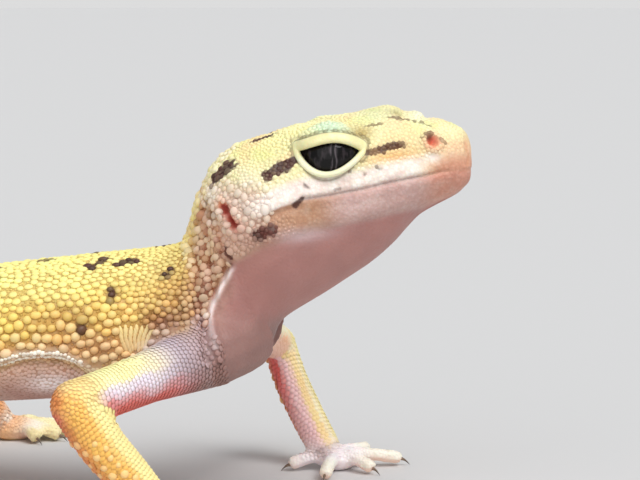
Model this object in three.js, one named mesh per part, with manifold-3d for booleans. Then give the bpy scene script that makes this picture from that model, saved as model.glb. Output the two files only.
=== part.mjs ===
// A leopard gecko at life size, standing on four feet with its head raised, its tail laid on the floor.
// Millimetres, +Z up, +X towards the snout, +Y to the animal's left. The floor is at z = 0.
import * as THREE from "three";
import { mergeVertices } from "three/addons/utils/BufferGeometryUtils.js";
import Module from "manifold-3d";

const wasm = await Module();
wasm.setup();

// Driving dimensions.
const GAP = 0.3; // clearance between neighbouring pieces
const FINEST = 0.06; // edges shorter than this are collapsed after a cut
const EYE_RADIUS = 3.3;
const EYE_CENTRE = new THREE.Vector3(1.0, 5.9, 40.5); // the left eye; the right one is its mirror image
const LID_THICKNESS = 0.75;
const EYE_OPENING = { length: 6.4, above: 1.4, below: 1.75, lift: 0.45 }; // its corners stand above the centre
const EAR_CENTRE = new THREE.Vector3(-9.6, 10.2, 34.6);
const EAR_RADII = new THREE.Vector3(0.75, 1.5, 1.6);
const EAR_TILT = 0.5; // radians, the slit's top leans back
const NOSTRIL = { centre: new THREE.Vector3(12.6, 5.0, 42.1), radius: 0.75 };
const MOUTH_CORNER = new THREE.Vector3(-2.4, 0, 36.2);
const MOUTH_PITCH = 0.18; // radians above the horizontal, corner to snout
const JAW_EDGE = new THREE.Vector3(-2.2, 0, 32.0); // a point on the lower border of the jaw
const JAW_PITCH = 0.27;
const AROUND = { body: 26, tail: 18, limb: 12, digit: 7, claw: 5 };

const COLOURS = {
  head: 0xe6d98a,
  jaw: 0xd9a896,
  throat: 0xb8807a,
  neck: 0xd9b48c,
  back: 0xe8c95a,
  tail: 0xdfc98a,
  arm: 0xe8b45a,
  foot: 0xf0dcc0,
  claw: 0x4a382c,
  eye: 0x141016,
};

// The body's outline from snout to tail. Each station is a slice through the animal: its top and bottom point
// [x, z], the midline's y there, the half width, the share of the height at which it is widest, and the
// squareness of its upper and lower half (2 is an ellipse, less is wedge-shaped).
const STATIONS = [
  { top: [17.1, 40.4], bottom: [17.1, 38.9], y: 0, width: 1.0, waist: 0.5, upper: 2.0, lower: 2.0 }, // snout
  { top: [16.8, 42.2], bottom: [16.6, 37.2], y: 0, width: 3.0, waist: 0.45, upper: 2.1, lower: 2.1 },
  { top: [15.5, 43.7], bottom: [15.4, 36.0], y: 0, width: 4.3, waist: 0.43, upper: 2.1, lower: 2.1 },
  { top: [13.2, 44.5], bottom: [13.4, 34.9], y: 0, width: 5.3, waist: 0.42, upper: 2.1, lower: 2.0 }, // nostrils
  { top: [10.2, 45.3], bottom: [11.0, 33.5], y: 0, width: 6.4, waist: 0.42, upper: 2.1, lower: 1.9 },
  { top: [7.0, 45.8], bottom: [8.7, 30.8], y: 0, width: 7.4, waist: 0.46, upper: 2.1, lower: 1.75 },
  { top: [3.9, 45.15], bottom: [6.1, 28.4], y: 0, width: 8.5, waist: 0.5, upper: 2.2, lower: 1.6 },
  { top: [0.8, 44.5], bottom: [3.2, 26.4], y: 0, width: 9.4, waist: 0.53, upper: 2.3, lower: 1.55 }, // eyes
  { top: [-2.4, 43.8], bottom: [0.6, 24.7], y: 0, width: 10.2, waist: 0.53, upper: 2.3, lower: 1.55 },
  { top: [-5.6, 42.7], bottom: [-1.6, 23.4], y: 0, width: 10.7, waist: 0.52, upper: 2.3, lower: 1.6 },
  { top: [-8.9, 41.7], bottom: [-3.2, 22.4], y: 0, width: 10.7, waist: 0.52, upper: 2.2, lower: 1.7 }, // jaw joint
  { top: [-11.5, 39.9], bottom: [-4.3, 21.5], y: 0, width: 9.9, waist: 0.52, upper: 2.1, lower: 1.8 },
  { top: [-13.1, 37.2], bottom: [-4.9, 20.3], y: 0, width: 8.9, waist: 0.52, upper: 2.0, lower: 1.9 }, // nape
  { top: [-14.0, 34.6], bottom: [-5.3, 18.9], y: 0, width: 8.4, waist: 0.5, upper: 2.0, lower: 2.0 },
  { top: [-14.5, 32.4], bottom: [-6.0, 17.3], y: 0, width: 8.4, waist: 0.48, upper: 2.0, lower: 2.1 },
  { top: [-15.1, 31.0], bottom: [-7.6, 16.0], y: 0, width: 8.7, waist: 0.46, upper: 2.1, lower: 2.2 },
  { top: [-16.5, 30.4], bottom: [-10.4, 15.1], y: 0, width: 9.3, waist: 0.45, upper: 2.1, lower: 2.2 }, // shoulders
  { top: [-19.4, 29.9], bottom: [-15.0, 14.2], y: 0.2, width: 10.0, waist: 0.45, upper: 2.1, lower: 2.3 },
  { top: [-24.0, 29.3], bottom: [-21.5, 13.4], y: 0.8, width: 10.8, waist: 0.44, upper: 2.2, lower: 2.4 },
  { top: [-30.5, 28.5], bottom: [-29.5, 12.8], y: 1.7, width: 12.3, waist: 0.43, upper: 2.2, lower: 2.4 },
  { top: [-38.0, 27.5], bottom: [-38.0, 12.2], y: 2.9, width: 13.3, waist: 0.42, upper: 2.2, lower: 2.4 }, // belly
  { top: [-46.0, 26.4], bottom: [-46.0, 11.8], y: 4.3, width: 13.5, waist: 0.42, upper: 2.2, lower: 2.4 },
  { top: [-54.0, 25.3], bottom: [-54.0, 11.8], y: 5.8, width: 12.7, waist: 0.43, upper: 2.2, lower: 2.4 },
  { top: [-61.0, 24.2], bottom: [-61.0, 12.0], y: 7.2, width: 10.9, waist: 0.45, upper: 2.1, lower: 2.3 },
  { top: [-67.0, 22.9], bottom: [-67.0, 11.9], y: 8.4, width: 9.0, waist: 0.47, upper: 2.1, lower: 2.2 }, // hips
  { top: [-72.5, 21.4], bottom: [-72.5, 11.2], y: 9.2, width: 7.6, waist: 0.48, upper: 2.0, lower: 2.1 },
  { top: [-78.0, 19.8], bottom: [-78.0, 9.8], y: 9.9, width: 6.2, waist: 0.48, upper: 2.0, lower: 2.0 }, // vent
  { top: [-84.5, 18.6], bottom: [-84.5, 7.4], y: 10.4, width: 6.3, waist: 0.48, upper: 2.0, lower: 2.0 },
  { top: [-92.0, 16.8], bottom: [-92.0, 4.2], y: 10.2, width: 6.9, waist: 0.48, upper: 2.0, lower: 2.1 },
  { top: [-100.5, 14.2], bottom: [-100.5, 1.2], y: 8.4, width: 7.0, waist: 0.47, upper: 2.0, lower: 2.2 },
  { top: [-109.0, 11.8], bottom: [-109.0, -0.2], y: 4.9, width: 6.5, waist: 0.45, upper: 2.0, lower: 2.2 },
  { top: [-117.0, 9.8], bottom: [-117.0, -0.3], y: 0.0, width: 5.6, waist: 0.45, upper: 2.0, lower: 2.2 },
  { top: [-124.5, 7.9], bottom: [-124.5, -0.3], y: -6.2, width: 4.6, waist: 0.45, upper: 2.0, lower: 2.2 },
  { top: [-131.0, 6.0], bottom: [-131.0, -0.25], y: -13.4, width: 3.5, waist: 0.45, upper: 2.0, lower: 2.2 },
  { top: [-136.5, 4.2], bottom: [-136.5, -0.2], y: -21.0, width: 2.4, waist: 0.45, upper: 2.0, lower: 2.2 },
  { top: [-141.0, 2.3], bottom: [-141.0, -0.15], y: -29.0, width: 1.3, waist: 0.45, upper: 2.0, lower: 2.0 },
  { top: [-143.2, 1.3], bottom: [-143.2, -0.1], y: -33.0, width: 0.7, waist: 0.45, upper: 2.0, lower: 2.0 },
];

// Where the body is parted, in stations from the snout, and how many slices each length has.
const LENGTHS = [
  { name: "head", from: 0, to: 12.4, rings: 22, around: AROUND.body },
  { name: "neck", from: 12.4, to: 15.4, rings: 7, around: AROUND.body },
  { name: "chest", from: 15.4, to: 18.4, rings: 7, around: AROUND.body },
  { name: "belly", from: 18.4, to: 23, rings: 9, around: AROUND.body },
  { name: "pelvis", from: 23, to: 26, rings: 6, around: AROUND.body },
  { name: "tail_base", from: 26, to: 29.5, rings: 8, around: AROUND.tail },
  { name: "tail_middle", from: 29.5, to: 32.5, rings: 7, around: AROUND.tail },
  { name: "tail_tip", from: 32.5, to: STATIONS.length - 1, rings: 9, around: AROUND.tail },
];

// Each leg: the line and radii of its upper length, from inside the body to the elbow or knee, and of its lower
// length, from there to the middle of the wrist or ankle.
const LEGS = {
  fore_right: {
    upper: [[-8.5, -3, 20.8], [-11.7, -7.4, 19.4], [-18.4, -14.0, 17.7], [-25.2, -20.9, 16.2]],
    upperRadii: [4.4, 4.0, 2.8, 2.65],
    lower: [[-25.2, -20.9, 16.2], [-22.9, -20.8, 12.5], [-19.3, -20.2, 7.9], [-15.7, -19.6, 3.4], [-14.4, -19.6, 2.2]],
    lowerRadii: [2.65, 2.5, 2.3, 1.9, 1.75],
    names: ["upper_arm_right", "forearm_right", "hand_right"],
  },
  fore_left: {
    upper: [[-8, 3, 21], [-10.2, 8, 20.2], [-7.9, 16, 17.6], [-5.1, 23.9, 14.8]],
    upperRadii: [4.4, 4.0, 2.8, 2.05],
    lower: [[-5.1, 23.9, 14.8], [-3.8, 23.2, 10.6], [-1.6, 21.2, 6.2], [0.3, 19.0, 3.0], [1.1, 18.5, 2.0]],
    lowerRadii: [2.05, 2.1, 2.1, 2.0, 1.85],
    names: ["upper_arm_left", "forearm_left", "hand_left"],
  },
  hind_left: {
    upper: [[-67, 9.5, 17.2], [-65.5, 14.5, 17.4], [-58.5, 22.0, 17.0], [-51.0, 28.6, 15.0]],
    upperRadii: [5.6, 5.2, 4.3, 3.2],
    lower: [[-51.0, 28.6, 15.0], [-47.9, 30.6, 10.9], [-44.9, 32.8, 6.6], [-42.7, 34.4, 3.4], [-41.9, 34.9, 2.3]],
    lowerRadii: [3.2, 2.8, 2.3, 1.85, 1.75],
    names: ["thigh_left", "shank_left", "foot_left"],
  },
  hind_right: {
    upper: [[-68, 7, 17.2], [-67.2, 2.2, 17.4], [-65.0, -6.4, 17.0], [-62.6, -14.4, 15.2]],
    upperRadii: [5.6, 5.2, 4.3, 3.2],
    lower: [[-62.6, -14.4, 15.2], [-64.4, -16.6, 11.2], [-67.0, -18.8, 6.9], [-69.2, -20.7, 3.4], [-68.6, -21.4, 2.3]],
    lowerRadii: [3.2, 2.8, 2.3, 1.85, 1.75],
    names: ["thigh_right", "shank_right", "foot_right"],
  },
};

// Each hand or foot: the middle and radii of its palm, the way it points, and its five digits as a heading
// in degrees (0 is +X, 90 is +Y), a length from the palm's middle, and the height of the tip.
const FEET = {
  fore_right: {
    side: "right", claw: "claw_hand_right", middle: [-12.4, -20.0, 1.25], radii: [2.7, 2.6, 1.5], heading: -8,
    digits: [[82, 6.2, 0.75], [38, 7.2, 0.75], [-4, 7.9, 0.75], [-42, 8.0, 0.75], [-92, 6.6, 0.75]],
  },
  fore_left: {
    side: "left", claw: "claw_hand_left", middle: [2.1, 18.4, 1.25], radii: [2.7, 2.6, 1.5], heading: -20,
    digits: [[194, 6.0, 0.75], [258, 7.2, 0.75], [322, 5.6, 0.75], [10, 8.2, 0.85], [58, 7.4, 1.0]],
  },
  hind_left: {
    side: "left", claw: "claw_foot_left", middle: [-40.3, 35.3, 1.3], radii: [3.4, 2.6, 1.6], heading: 8,
    digits: [[312, 5.2, 0.75], [341, 6.6, 0.75], [3, 7.4, 0.75], [26, 8.0, 0.75], [76, 6.8, 0.75]],
  },
  hind_right: {
    side: "right", claw: "claw_foot_right", middle: [-66.8, -22.8, 1.3], radii: [3.4, 2.6, 1.6], heading: -30,
    digits: [[48, 5.8, 0.75], [8, 7.4, 0.75], [-18, 8.6, 0.75], [-44, 9.2, 0.75], [-96, 7.0, 0.75]],
  },
};
const DIGIT_RADII = [1.05, 0.85, 0.78, 0.84, 0.55];
const DIGIT_ARCH = [1.5, 1.7, 1.35]; // heights of the root, the knuckle and the last joint
const CLAW = { length: 1.0, radius: 0.3, tip: 0.13, lift: 0.3 };

// A closed mesh as a solid, and back.
function solidOf(geometry) {
  const bare = geometry.clone();
  bare.deleteAttribute("normal");
  bare.deleteAttribute("uv");
  const merged = mergeVertices(bare, 1e-4);
  return new wasm.Manifold(
    new wasm.Mesh({
      numProp: 3,
      vertProperties: merged.attributes.position.array,
      triVerts: new Uint32Array(merged.index.array),
    }),
  );
}

function geometryOf(solid) {
  const [largest] = solid.decompose().sort((a, b) => b.volume() - a.volume());
  const mesh = largest.simplify(FINEST).getMesh();
  return new THREE.BufferGeometry()
    .setAttribute("position", new THREE.BufferAttribute(new Float32Array(mesh.vertProperties), 3))
    .setIndex(new THREE.BufferAttribute(new Uint32Array(mesh.triVerts), 1));
}

// A cylinder laid along a shape: place(t, side, rise, end) gives each vertex, with side and rise on the unit
// circle and end -1 on the first ring, 1 on the last and 0 between.
function tube(place, from, to, rings, around) {
  const geometry = new THREE.CylinderGeometry(1, 1, 1, around, rings);
  const position = geometry.attributes.position;
  for (let i = 0; i < position.count; i++) {
    const share = Math.round((0.5 - position.getY(i)) * rings) / rings;
    const end = share === 0 ? -1 : share === 1 ? 1 : 0;
    const p = place(from + share * (to - from), position.getX(i), position.getZ(i), end);
    position.setXYZ(i, p.x, p.y, p.z);
  }
  return solidOf(geometry);
}

function box(low, high, turn = 0, at = new THREE.Vector3()) {
  const [x, y, z] = low.map((v, i) => high[i] - v);
  const middle = low.map((v, i) => (v + high[i]) / 2);
  const geometry = new THREE.BoxGeometry(x, y, z).translate(...middle).rotateY(-turn);
  return solidOf(geometry.translate(at.x, at.y, at.z));
}

function ball(centre, radii, across, down) {
  const geometry = new THREE.SphereGeometry(1, across, down).rotateX(Math.PI / 2);
  return solidOf(geometry.scale(...radii).translate(...centre));
}

const power = (value, exponent) => Math.sign(value) * Math.abs(value) ** exponent;
const rail = (points) => new THREE.CatmullRomCurve3(points.map((p) => new THREE.Vector3(...p)), false, "catmullrom");

// The body's skin at a station, stood off by grow. A ring at an end is drawn in by half the gap.
const tops = rail(STATIONS.map((s) => [s.top[0], s.y, s.top[1]]));
const bottoms = rail(STATIONS.map((s) => [s.bottom[0], s.y, s.bottom[1]]));
const sizes = rail(STATIONS.map((s) => [s.width, s.waist, 0]));
const powers = rail(STATIONS.map((s) => [s.upper, s.lower, 0]));
const middleOf = (t) => tops.getPoint(t).add(bottoms.getPoint(t)).multiplyScalar(0.5);

function bodyPlace(grow = 0, inset = GAP / 2) {
  const last = STATIONS.length - 1;
  return (station, side, rise, end) => {
    const t = station / last;
    const low = bottoms.getPoint(t);
    const up = tops.getPoint(t).sub(low);
    const height = up.length();
    up.normalize();
    const { x: width, y: waist } = sizes.getPoint(t);
    const { x: upper, y: lower } = powers.getPoint(t);
    const step = 0.1 / last;
    const forward = middleOf(Math.max(t - step, 0)).sub(middleOf(Math.min(t + step, 1))).normalize();
    const lateral = forward.clone().cross(up).normalize();
    const normal = up.clone().cross(lateral);
    const reach = rise >= 0 ? (1 - waist) * height : waist * height;
    const exponent = 2 / (rise >= 0 ? upper : lower);
    const off = new THREE.Vector2(power(side, exponent) * width, power(rise, exponent) * reach);
    off.setLength(off.length() + (off.length() > 0 ? grow : 0));
    return low
      .addScaledVector(up, waist * height + off.y)
      .addScaledVector(lateral, off.x)
      .addScaledVector(normal, end * inset);
  };
}

// A limb's skin along its line, a round section of the given radii.
function limbPlace(line, radii, grow = 0, inset = GAP / 2) {
  const path = rail(line);
  const girths = rail(radii.map((r) => [r, 0, 0]));
  return (t, side, rise, end) => {
    const forward = path.getTangent(t).negate();
    const lateral = forward.clone().cross(new THREE.Vector3(0, 0, 1)).normalize();
    const up = lateral.clone().cross(forward);
    const radius = girths.getPoint(t).x + grow;
    return path
      .getPoint(t)
      .addScaledVector(lateral, side * radius)
      .addScaledVector(up, rise * radius)
      .addScaledVector(forward, end * inset);
  };
}

const floor = box([-300, -300, -20], [300, 300, 0]);
const wholeBody = tube(bodyPlace(GAP), 0, STATIONS.length - 1, 90, AROUND.body);
const posed = new THREE.Group();

function addPiece(name, solid, colour, roughness = 0.6) {
  const material = new THREE.MeshStandardMaterial({ color: colour, roughness, metalness: 0 });
  const mesh = new THREE.Mesh(geometryOf(solid), material);
  mesh.name = name;
  posed.add(mesh);
}

// Two arcs that meet at the eye's corners, as a prism through the lids.
function eyeOpening(side) {
  const { length, above, below } = EYE_OPENING;
  const half = length / 2;
  const almond = new THREE.Shape().moveTo(-half, 0);
  almond.quadraticCurveTo(0, -2 * below, half, 0).quadraticCurveTo(0, 2 * above, -half, 0);
  const prism = new THREE.ExtrudeGeometry(almond, { depth: 2 * EYE_RADIUS, bevelEnabled: false, curveSegments: 8 });
  prism.rotateX(Math.PI / 2); // the almond's upper arc is turned up, the depth runs to -Y
  return solidOf(side > 0 ? prism.rotateZ(Math.PI) : prism);
}

function addHead(length) {
  let whole = tube(bodyPlace(), length.from, length.to, length.rings, length.around);
  const tall = [EYE_RADIUS, EYE_RADIUS, EYE_RADIUS];
  for (const side of [1, -1]) {
    const [x, y, z] = [EYE_CENTRE.x, side * EYE_CENTRE.y, EYE_CENTRE.z];
    const grown = (by) => ball([x, y, z], tall.map((r) => r + by), 16, 8);
    const opening = eyeOpening(side).translate([x, y + side, z + EYE_OPENING.lift]);
    const ear = solidOf(
      new THREE.SphereGeometry(1, 8, 6)
        .scale(...EAR_RADII)
        .rotateY(-EAR_TILT)
        .translate(EAR_CENTRE.x, side * EAR_CENTRE.y, EAR_CENTRE.z),
    );
    const nostril = ball([NOSTRIL.centre.x, side * NOSTRIL.centre.y, NOSTRIL.centre.z],
      new Array(3).fill(NOSTRIL.radius), 8, 6);
    whole = whole.add(grown(LID_THICKNESS)).subtract(grown(GAP)).subtract(opening);
    whole = whole.subtract(ear).subtract(nostril);
    addPiece(side > 0 ? "eye_left" : "eye_right", grown(0), COLOURS.eye, 0.05);
  }
  const jawNormal = [-Math.sin(JAW_PITCH), 0, Math.cos(JAW_PITCH)];
  const jawLevel = JAW_EDGE.dot(new THREE.Vector3(...jawNormal));
  const above = whole.trimByPlane(jawNormal, jawLevel + GAP / 2);
  const below = whole.trimByPlane(jawNormal.map((v) => -v), -jawLevel + GAP / 2);
  const bite = (inset) => box([-inset, -20, -20], [30, 20, inset], MOUTH_PITCH, MOUTH_CORNER);
  addPiece("head", above.subtract(bite(GAP / 2)), COLOURS.head);
  addPiece("lower_jaw", above.intersect(bite(-GAP / 2)), COLOURS.jaw);
  addPiece("throat", below, COLOURS.throat);
}

function addBody() {
  const colours = { neck: COLOURS.neck, chest: COLOURS.back, belly: COLOURS.back, pelvis: COLOURS.back };
  for (const length of LENGTHS) {
    if (length.name === "head") {
      addHead(length);
      continue;
    }
    const solid = tube(bodyPlace(), length.from, length.to, length.rings, length.around).subtract(floor);
    addPiece(length.name, solid, colours[length.name] ?? COLOURS.tail);
  }
}

// The palm with its five digits, cut flat where it stands, and the claws just past the digits' tips.
function addFoot(foot, name, ankle) {
  const [px, py, pz] = foot.middle;
  const palm = new THREE.SphereGeometry(1, 12, 6).rotateX(Math.PI / 2).scale(...foot.radii);
  palm.rotateZ(THREE.MathUtils.degToRad(foot.heading)).translate(px, py, pz);
  let whole = solidOf(palm);
  foot.digits.forEach(([heading, length, tip], i) => {
    const angle = THREE.MathUtils.degToRad(heading);
    const out = new THREE.Vector2(Math.cos(angle), Math.sin(angle));
    const at = (distance, height) => [px + out.x * distance, py + out.y * distance, height];
    const [root, knuckle, joint] = DIGIT_ARCH;
    const line = [at(length * 0.12, root), at(length * 0.42, knuckle), at(length * 0.7, joint),
      at(length * 0.9, tip + 0.25), at(length, tip)];
    whole = whole.add(tube(limbPlace(line, DIGIT_RADII), 0, 1, 5, AROUND.digit));
    const start = length + GAP;
    const clawLine = [at(start, tip + 0.05), at(start + CLAW.length * 0.5, tip + 0.05),
      at(start + CLAW.length, CLAW.lift - 0.15)];
    const clawRadii = [CLAW.radius, CLAW.radius * 0.8, CLAW.tip];
    const claw = tube(limbPlace(clawLine, clawRadii, 0, 0), 0, 1, 2, AROUND.claw);
    addPiece(`${foot.claw}_${i + 1}`, claw, COLOURS.claw, 0.35);
  });
  addPiece(name, whole.subtract(ankle).subtract(floor), COLOURS.foot);
}

function addLeg(leg, foot) {
  const [upperName, lowerName, footName] = leg.names;
  const bend = new THREE.Vector3(...leg.lower[0]);
  const upper = tube(limbPlace(leg.upper, leg.upperRadii, 0, 0), 0, 1, 6, AROUND.limb);
  const lower = tube(limbPlace(leg.lower, leg.lowerRadii, 0, 0), 0, 0.93, 6, AROUND.limb);
  const joint = ball(bend.toArray(), new Array(3).fill(leg.lowerRadii[0]), AROUND.limb, 8);
  // The two lengths are parted by the plane that halves the angle at the elbow or knee.
  const parting = rail(leg.upper).getTangent(1).add(rail(leg.lower).getTangent(0)).normalize();
  const level = parting.dot(bend);
  const above = upper.add(joint).trimByPlane(parting.clone().negate().toArray(), -level + GAP / 2);
  const below = lower.add(joint).trimByPlane(parting.toArray(), level + GAP / 2);
  addPiece(upperName, above.subtract(wholeBody), COLOURS.arm);
  addPiece(lowerName, below, COLOURS.arm);
  const ankle = tube(limbPlace(leg.lower, leg.lowerRadii, GAP, 0), 0.1, 0.97, 9, AROUND.limb);
  addFoot(foot, footName, ankle);
}

addBody();
for (const key of Object.keys(LEGS)) addLeg(LEGS[key], FEET[key]);

// The origin is on the floor, under the middle of the animal's bounding box.
const extent = new THREE.Box3().setFromObject(posed);
const middle = extent.getCenter(new THREE.Vector3());
posed.position.set(-middle.x, -middle.y, -extent.min.z);

const gecko = new THREE.Group();
gecko.add(posed);
export default gecko;
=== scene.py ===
# %% [markdown]
# # A leopard gecko at life size
# The measured solids of the animal come first: they say where every part of the body is. Over them goes one
# unbroken skin, and over the skin thousands of small raised scales, as on the real animal. The eyes and the
# claws are pieces of their own. Everything is in metres here, and the animal's own sizes in millimetres.

import math

import bmesh
import bpy
import numpy as np
from mathutils import Matrix, Vector
from mathutils.bvhtree import BVHTree
from mathutils.kdtree import KDTree


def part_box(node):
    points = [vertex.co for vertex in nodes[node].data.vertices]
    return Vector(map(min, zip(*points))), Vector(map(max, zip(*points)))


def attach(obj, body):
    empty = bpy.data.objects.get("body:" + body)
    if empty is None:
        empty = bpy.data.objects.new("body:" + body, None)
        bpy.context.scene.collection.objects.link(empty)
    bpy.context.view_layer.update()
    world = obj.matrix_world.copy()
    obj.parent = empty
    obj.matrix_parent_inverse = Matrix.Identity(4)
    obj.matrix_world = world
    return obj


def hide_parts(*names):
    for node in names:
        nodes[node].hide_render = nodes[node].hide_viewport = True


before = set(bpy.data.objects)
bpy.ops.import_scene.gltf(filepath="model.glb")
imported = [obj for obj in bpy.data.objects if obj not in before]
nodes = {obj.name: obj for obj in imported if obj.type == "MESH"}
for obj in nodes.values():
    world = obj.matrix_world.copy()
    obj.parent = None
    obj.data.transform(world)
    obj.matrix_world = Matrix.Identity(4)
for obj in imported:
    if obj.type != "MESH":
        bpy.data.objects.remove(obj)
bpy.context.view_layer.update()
print(len(nodes), "measured parts")

# %% [markdown]
# All the places below are in millimetres from one point on the floor, right under the nape. Two small
# functions turn them into the frame's metres and back.

# %% The animal's own millimetres
MM = 0.001
SNOUT_TIP_X = 16.95
head_low, head_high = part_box("head")
NAPE = np.array((head_high.x / MM - SNOUT_TIP_X, (head_low.y + head_high.y) / (2 * MM), 0.0))


def to_metres(places):
    return (np.asarray(places, float) + NAPE) * MM


def to_mm(places):
    return np.asarray(places, float) / MM - NAPE


print("the nape stands at", NAPE.round(2), "mm")

# %% [markdown]
# The camera looks across the animal from its right side, a little downwards. A long lens from a little way
# off keeps the near side from swelling.

# %% The camera
CAMERA_PLACE = (0.0, -220.0, 57.73)
CAMERA_DIP = math.radians(7.0)
CAMERA_LENS = 110.64


def show(name, data):
    """A new object in the scene that holds a mesh, a lamp or a camera."""
    piece = bpy.data.objects.new(name, data)
    bpy.context.scene.collection.objects.link(piece)
    return piece


camera_data = bpy.data.cameras.new("camera")
camera_data.sensor_width = 36.0
camera_data.lens = CAMERA_LENS
camera_data.clip_start = 0.005
camera = show("camera", camera_data)
camera.location = to_metres(CAMERA_PLACE)
camera.rotation_euler = (math.pi / 2 - CAMERA_DIP, 0.0, 0.0)
bpy.context.scene.camera = camera
bpy.context.scene.view_settings.view_transform = "Standard"
print("camera", tuple(round(c, 4) for c in camera.location))

# %% [markdown]
# The light is a broad soft lamp overhead and to one side, a weaker and softer one in front, and an even
# pale surround. The camera sees the surround brighter than it shines, so that it stays pale without
# bleaching the animal's colours.

# %% The lamps and the surround
AMBIENT_COLOUR = (0.93, 0.96, 1.0, 1.0)
AMBIENT_STRENGTH = 0.40
SEEN_BEHIND = 0.72


def soft_lamp(name, strength, spread, turn):
    lamp = bpy.data.lights.new(name, "SUN")
    lamp.energy = strength
    lamp.angle = math.radians(spread)
    show(name, lamp).rotation_euler = [math.radians(a) for a in turn]


soft_lamp("overhead", 2.05, 40.0, (20.0, 24.0, 0.0))
soft_lamp("front_fill", 0.95, 80.0, (62.0, 0.0, -12.0))

world = bpy.data.worlds.new("studio")
world.use_nodes = True
sky = world.node_tree
ambient = sky.nodes["Background"]
ambient.inputs["Color"].default_value = AMBIENT_COLOUR
ambient.inputs["Strength"].default_value = AMBIENT_STRENGTH
behind = sky.nodes.new("ShaderNodeBackground")
behind.inputs["Color"].default_value = (SEEN_BEHIND, SEEN_BEHIND, SEEN_BEHIND, 1.0)
ray = sky.nodes.new("ShaderNodeLightPath")
choice = sky.nodes.new("ShaderNodeMixShader")
sky.links.new(ray.outputs["Is Camera Ray"], choice.inputs[0])
sky.links.new(ambient.outputs[0], choice.inputs[1])
sky.links.new(behind.outputs[0], choice.inputs[2])
sky.links.new(choice.outputs[0], sky.nodes["World Output"].inputs["Surface"])
bpy.context.scene.world = world
print("surround lights at", AMBIENT_STRENGTH, "and is seen at", SEEN_BEHIND)

# %% [markdown]
# The floor is a wide pale disc. It takes the soft shadow that shows how the feet and the tail rest on it.

# %% The floor
FLOOR_RADIUS = 12.0
FLOOR_COLOUR = (0.66, 0.655, 0.65, 1.0)


def mesh_of(bm, name):
    """A new mesh from a bmesh, which is then freed."""
    mesh = bpy.data.meshes.new(name)
    bm.to_mesh(mesh)
    bm.free()
    return mesh


disc = bmesh.new()
bmesh.ops.create_circle(disc, cap_ends=True, radius=FLOOR_RADIUS, segments=64)
floor = show("floor", mesh_of(disc, "floor"))
floor_finish = bpy.data.materials.new("floor")
floor_finish.use_nodes = True
floor_shader = floor_finish.node_tree.nodes["Principled BSDF"]
floor_shader.inputs["Base Color"].default_value = FLOOR_COLOUR
floor_shader.inputs["Roughness"].default_value = 0.9
floor.data.materials.append(floor_finish)
print("floor of", 2 * FLOOR_RADIUS, "m across")

# %% [markdown]
# Many steps need the same few sums on whole arrays of points: a soft step between two levels, a bell-shaped
# bump, the distance to a bent line, and a gentle random rippling that is the same on every run.

# %% Sums on arrays of points


def smooth(value, low, high):
    share = np.clip((value - low) / (high - low), 0.0, 1.0)
    return share * share * (3.0 - 2.0 * share)


def lengths(rows):
    return np.linalg.norm(rows, axis=1)


def bell(distance, width):
    return np.exp(-((distance / width) ** 2))


def to_line(points, line):
    """The distance from each point to a bent line, and how far along the line its nearest place is."""
    line = np.asarray(line, float)
    best = np.full(len(points), 1e9)
    along = np.zeros(len(points))
    start = 0.0
    for a, b in zip(line[:-1], line[1:]):
        run = b - a
        length = np.linalg.norm(run)
        share = np.clip(((points - a) @ run) / length**2, 0.0, 1.0)
        gap = lengths(points - (a + share[:, None] * run))
        nearer = gap < best
        best[nearer] = gap[nearer]
        along[nearer] = start + share[nearer] * length
        start += length
    return best, along


def ripple(points, size, seed):
    """A smooth random field from -1 to 1 with bumps of about that size."""
    rng = np.random.default_rng(seed)
    field = np.zeros(len(points))
    for _ in range(9):
        way = rng.normal(size=3)
        way *= rng.uniform(0.6, 1.5) * math.pi / size / np.linalg.norm(way)
        field += np.sin(points @ way + rng.uniform(0, 2 * math.pi))
    return np.clip(field / 4.0, -1.0, 1.0)


print("half way up a soft step:", smooth(0.5, 0.0, 1.0))

# %% [markdown]
# A mesh gives up its points fastest as one flat list, which numpy folds into rows of three.

# %% Points in and out of a mesh


def read_points(mesh):
    flat = np.empty(len(mesh.vertices) * 3)
    mesh.vertices.foreach_get("co", flat)
    return flat.reshape(-1, 3)


def read_normals(mesh):
    flat = np.empty(len(mesh.vertices) * 3)
    mesh.vertex_normals.foreach_get("vector", flat)
    return flat.reshape(-1, 3)


def write_points(mesh, points):
    mesh.vertices.foreach_set("co", np.asarray(points, np.float32).ravel())
    mesh.update()


def smooth_faces(mesh):
    mesh.polygons.foreach_set("use_smooth", np.ones(len(mesh.polygons), bool))


print("the head's solid has", len(read_points(nodes["head"].data)), "points")

# %% [markdown]
# The lines that the body is read by: the mouth, the edge of the jaw, the back and the belly in side view,
# and the midline from above. Short lists of places are enough, with everything between them interpolated.

# %% The body's lines
MOUTH = np.array([(-6.6, 34.5), (-4.4, 35.6), (-1.9, 36.4), (1.5, 36.8), (4.6, 37.3), (7.0, 37.8),
                  (8.7, 38.1), (10.7, 38.4), (11.9, 38.6), (13.4, 38.9), (15.2, 39.0), (17.4, 38.9)])
JAW_EDGE = np.array([(-9.0, 29.6), (-6.2, 31.3), (-2.2, 32.4), (0.0, 32.8), (4.3, 33.6), (8.8, 34.4),
                     (11.1, 34.6), (15.0, 35.8), (17.0, 36.8)])
BACK = np.array([(-144, 0.9), (-136, 4.0), (-124, 7.9), (-109, 11.8), (-100, 14.2), (-92, 16.8), (-84, 18.6),
                 (-78, 19.8), (-67, 22.9), (-54, 25.3), (-38, 27.5), (-24, 29.3), (-16, 30.5), (-14.4, 32),
                 (-13, 37), (-9, 41.2), (-2.4, 43.8), (4, 45.0), (10, 45.2), (15, 43.3), (17, 40)])
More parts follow.
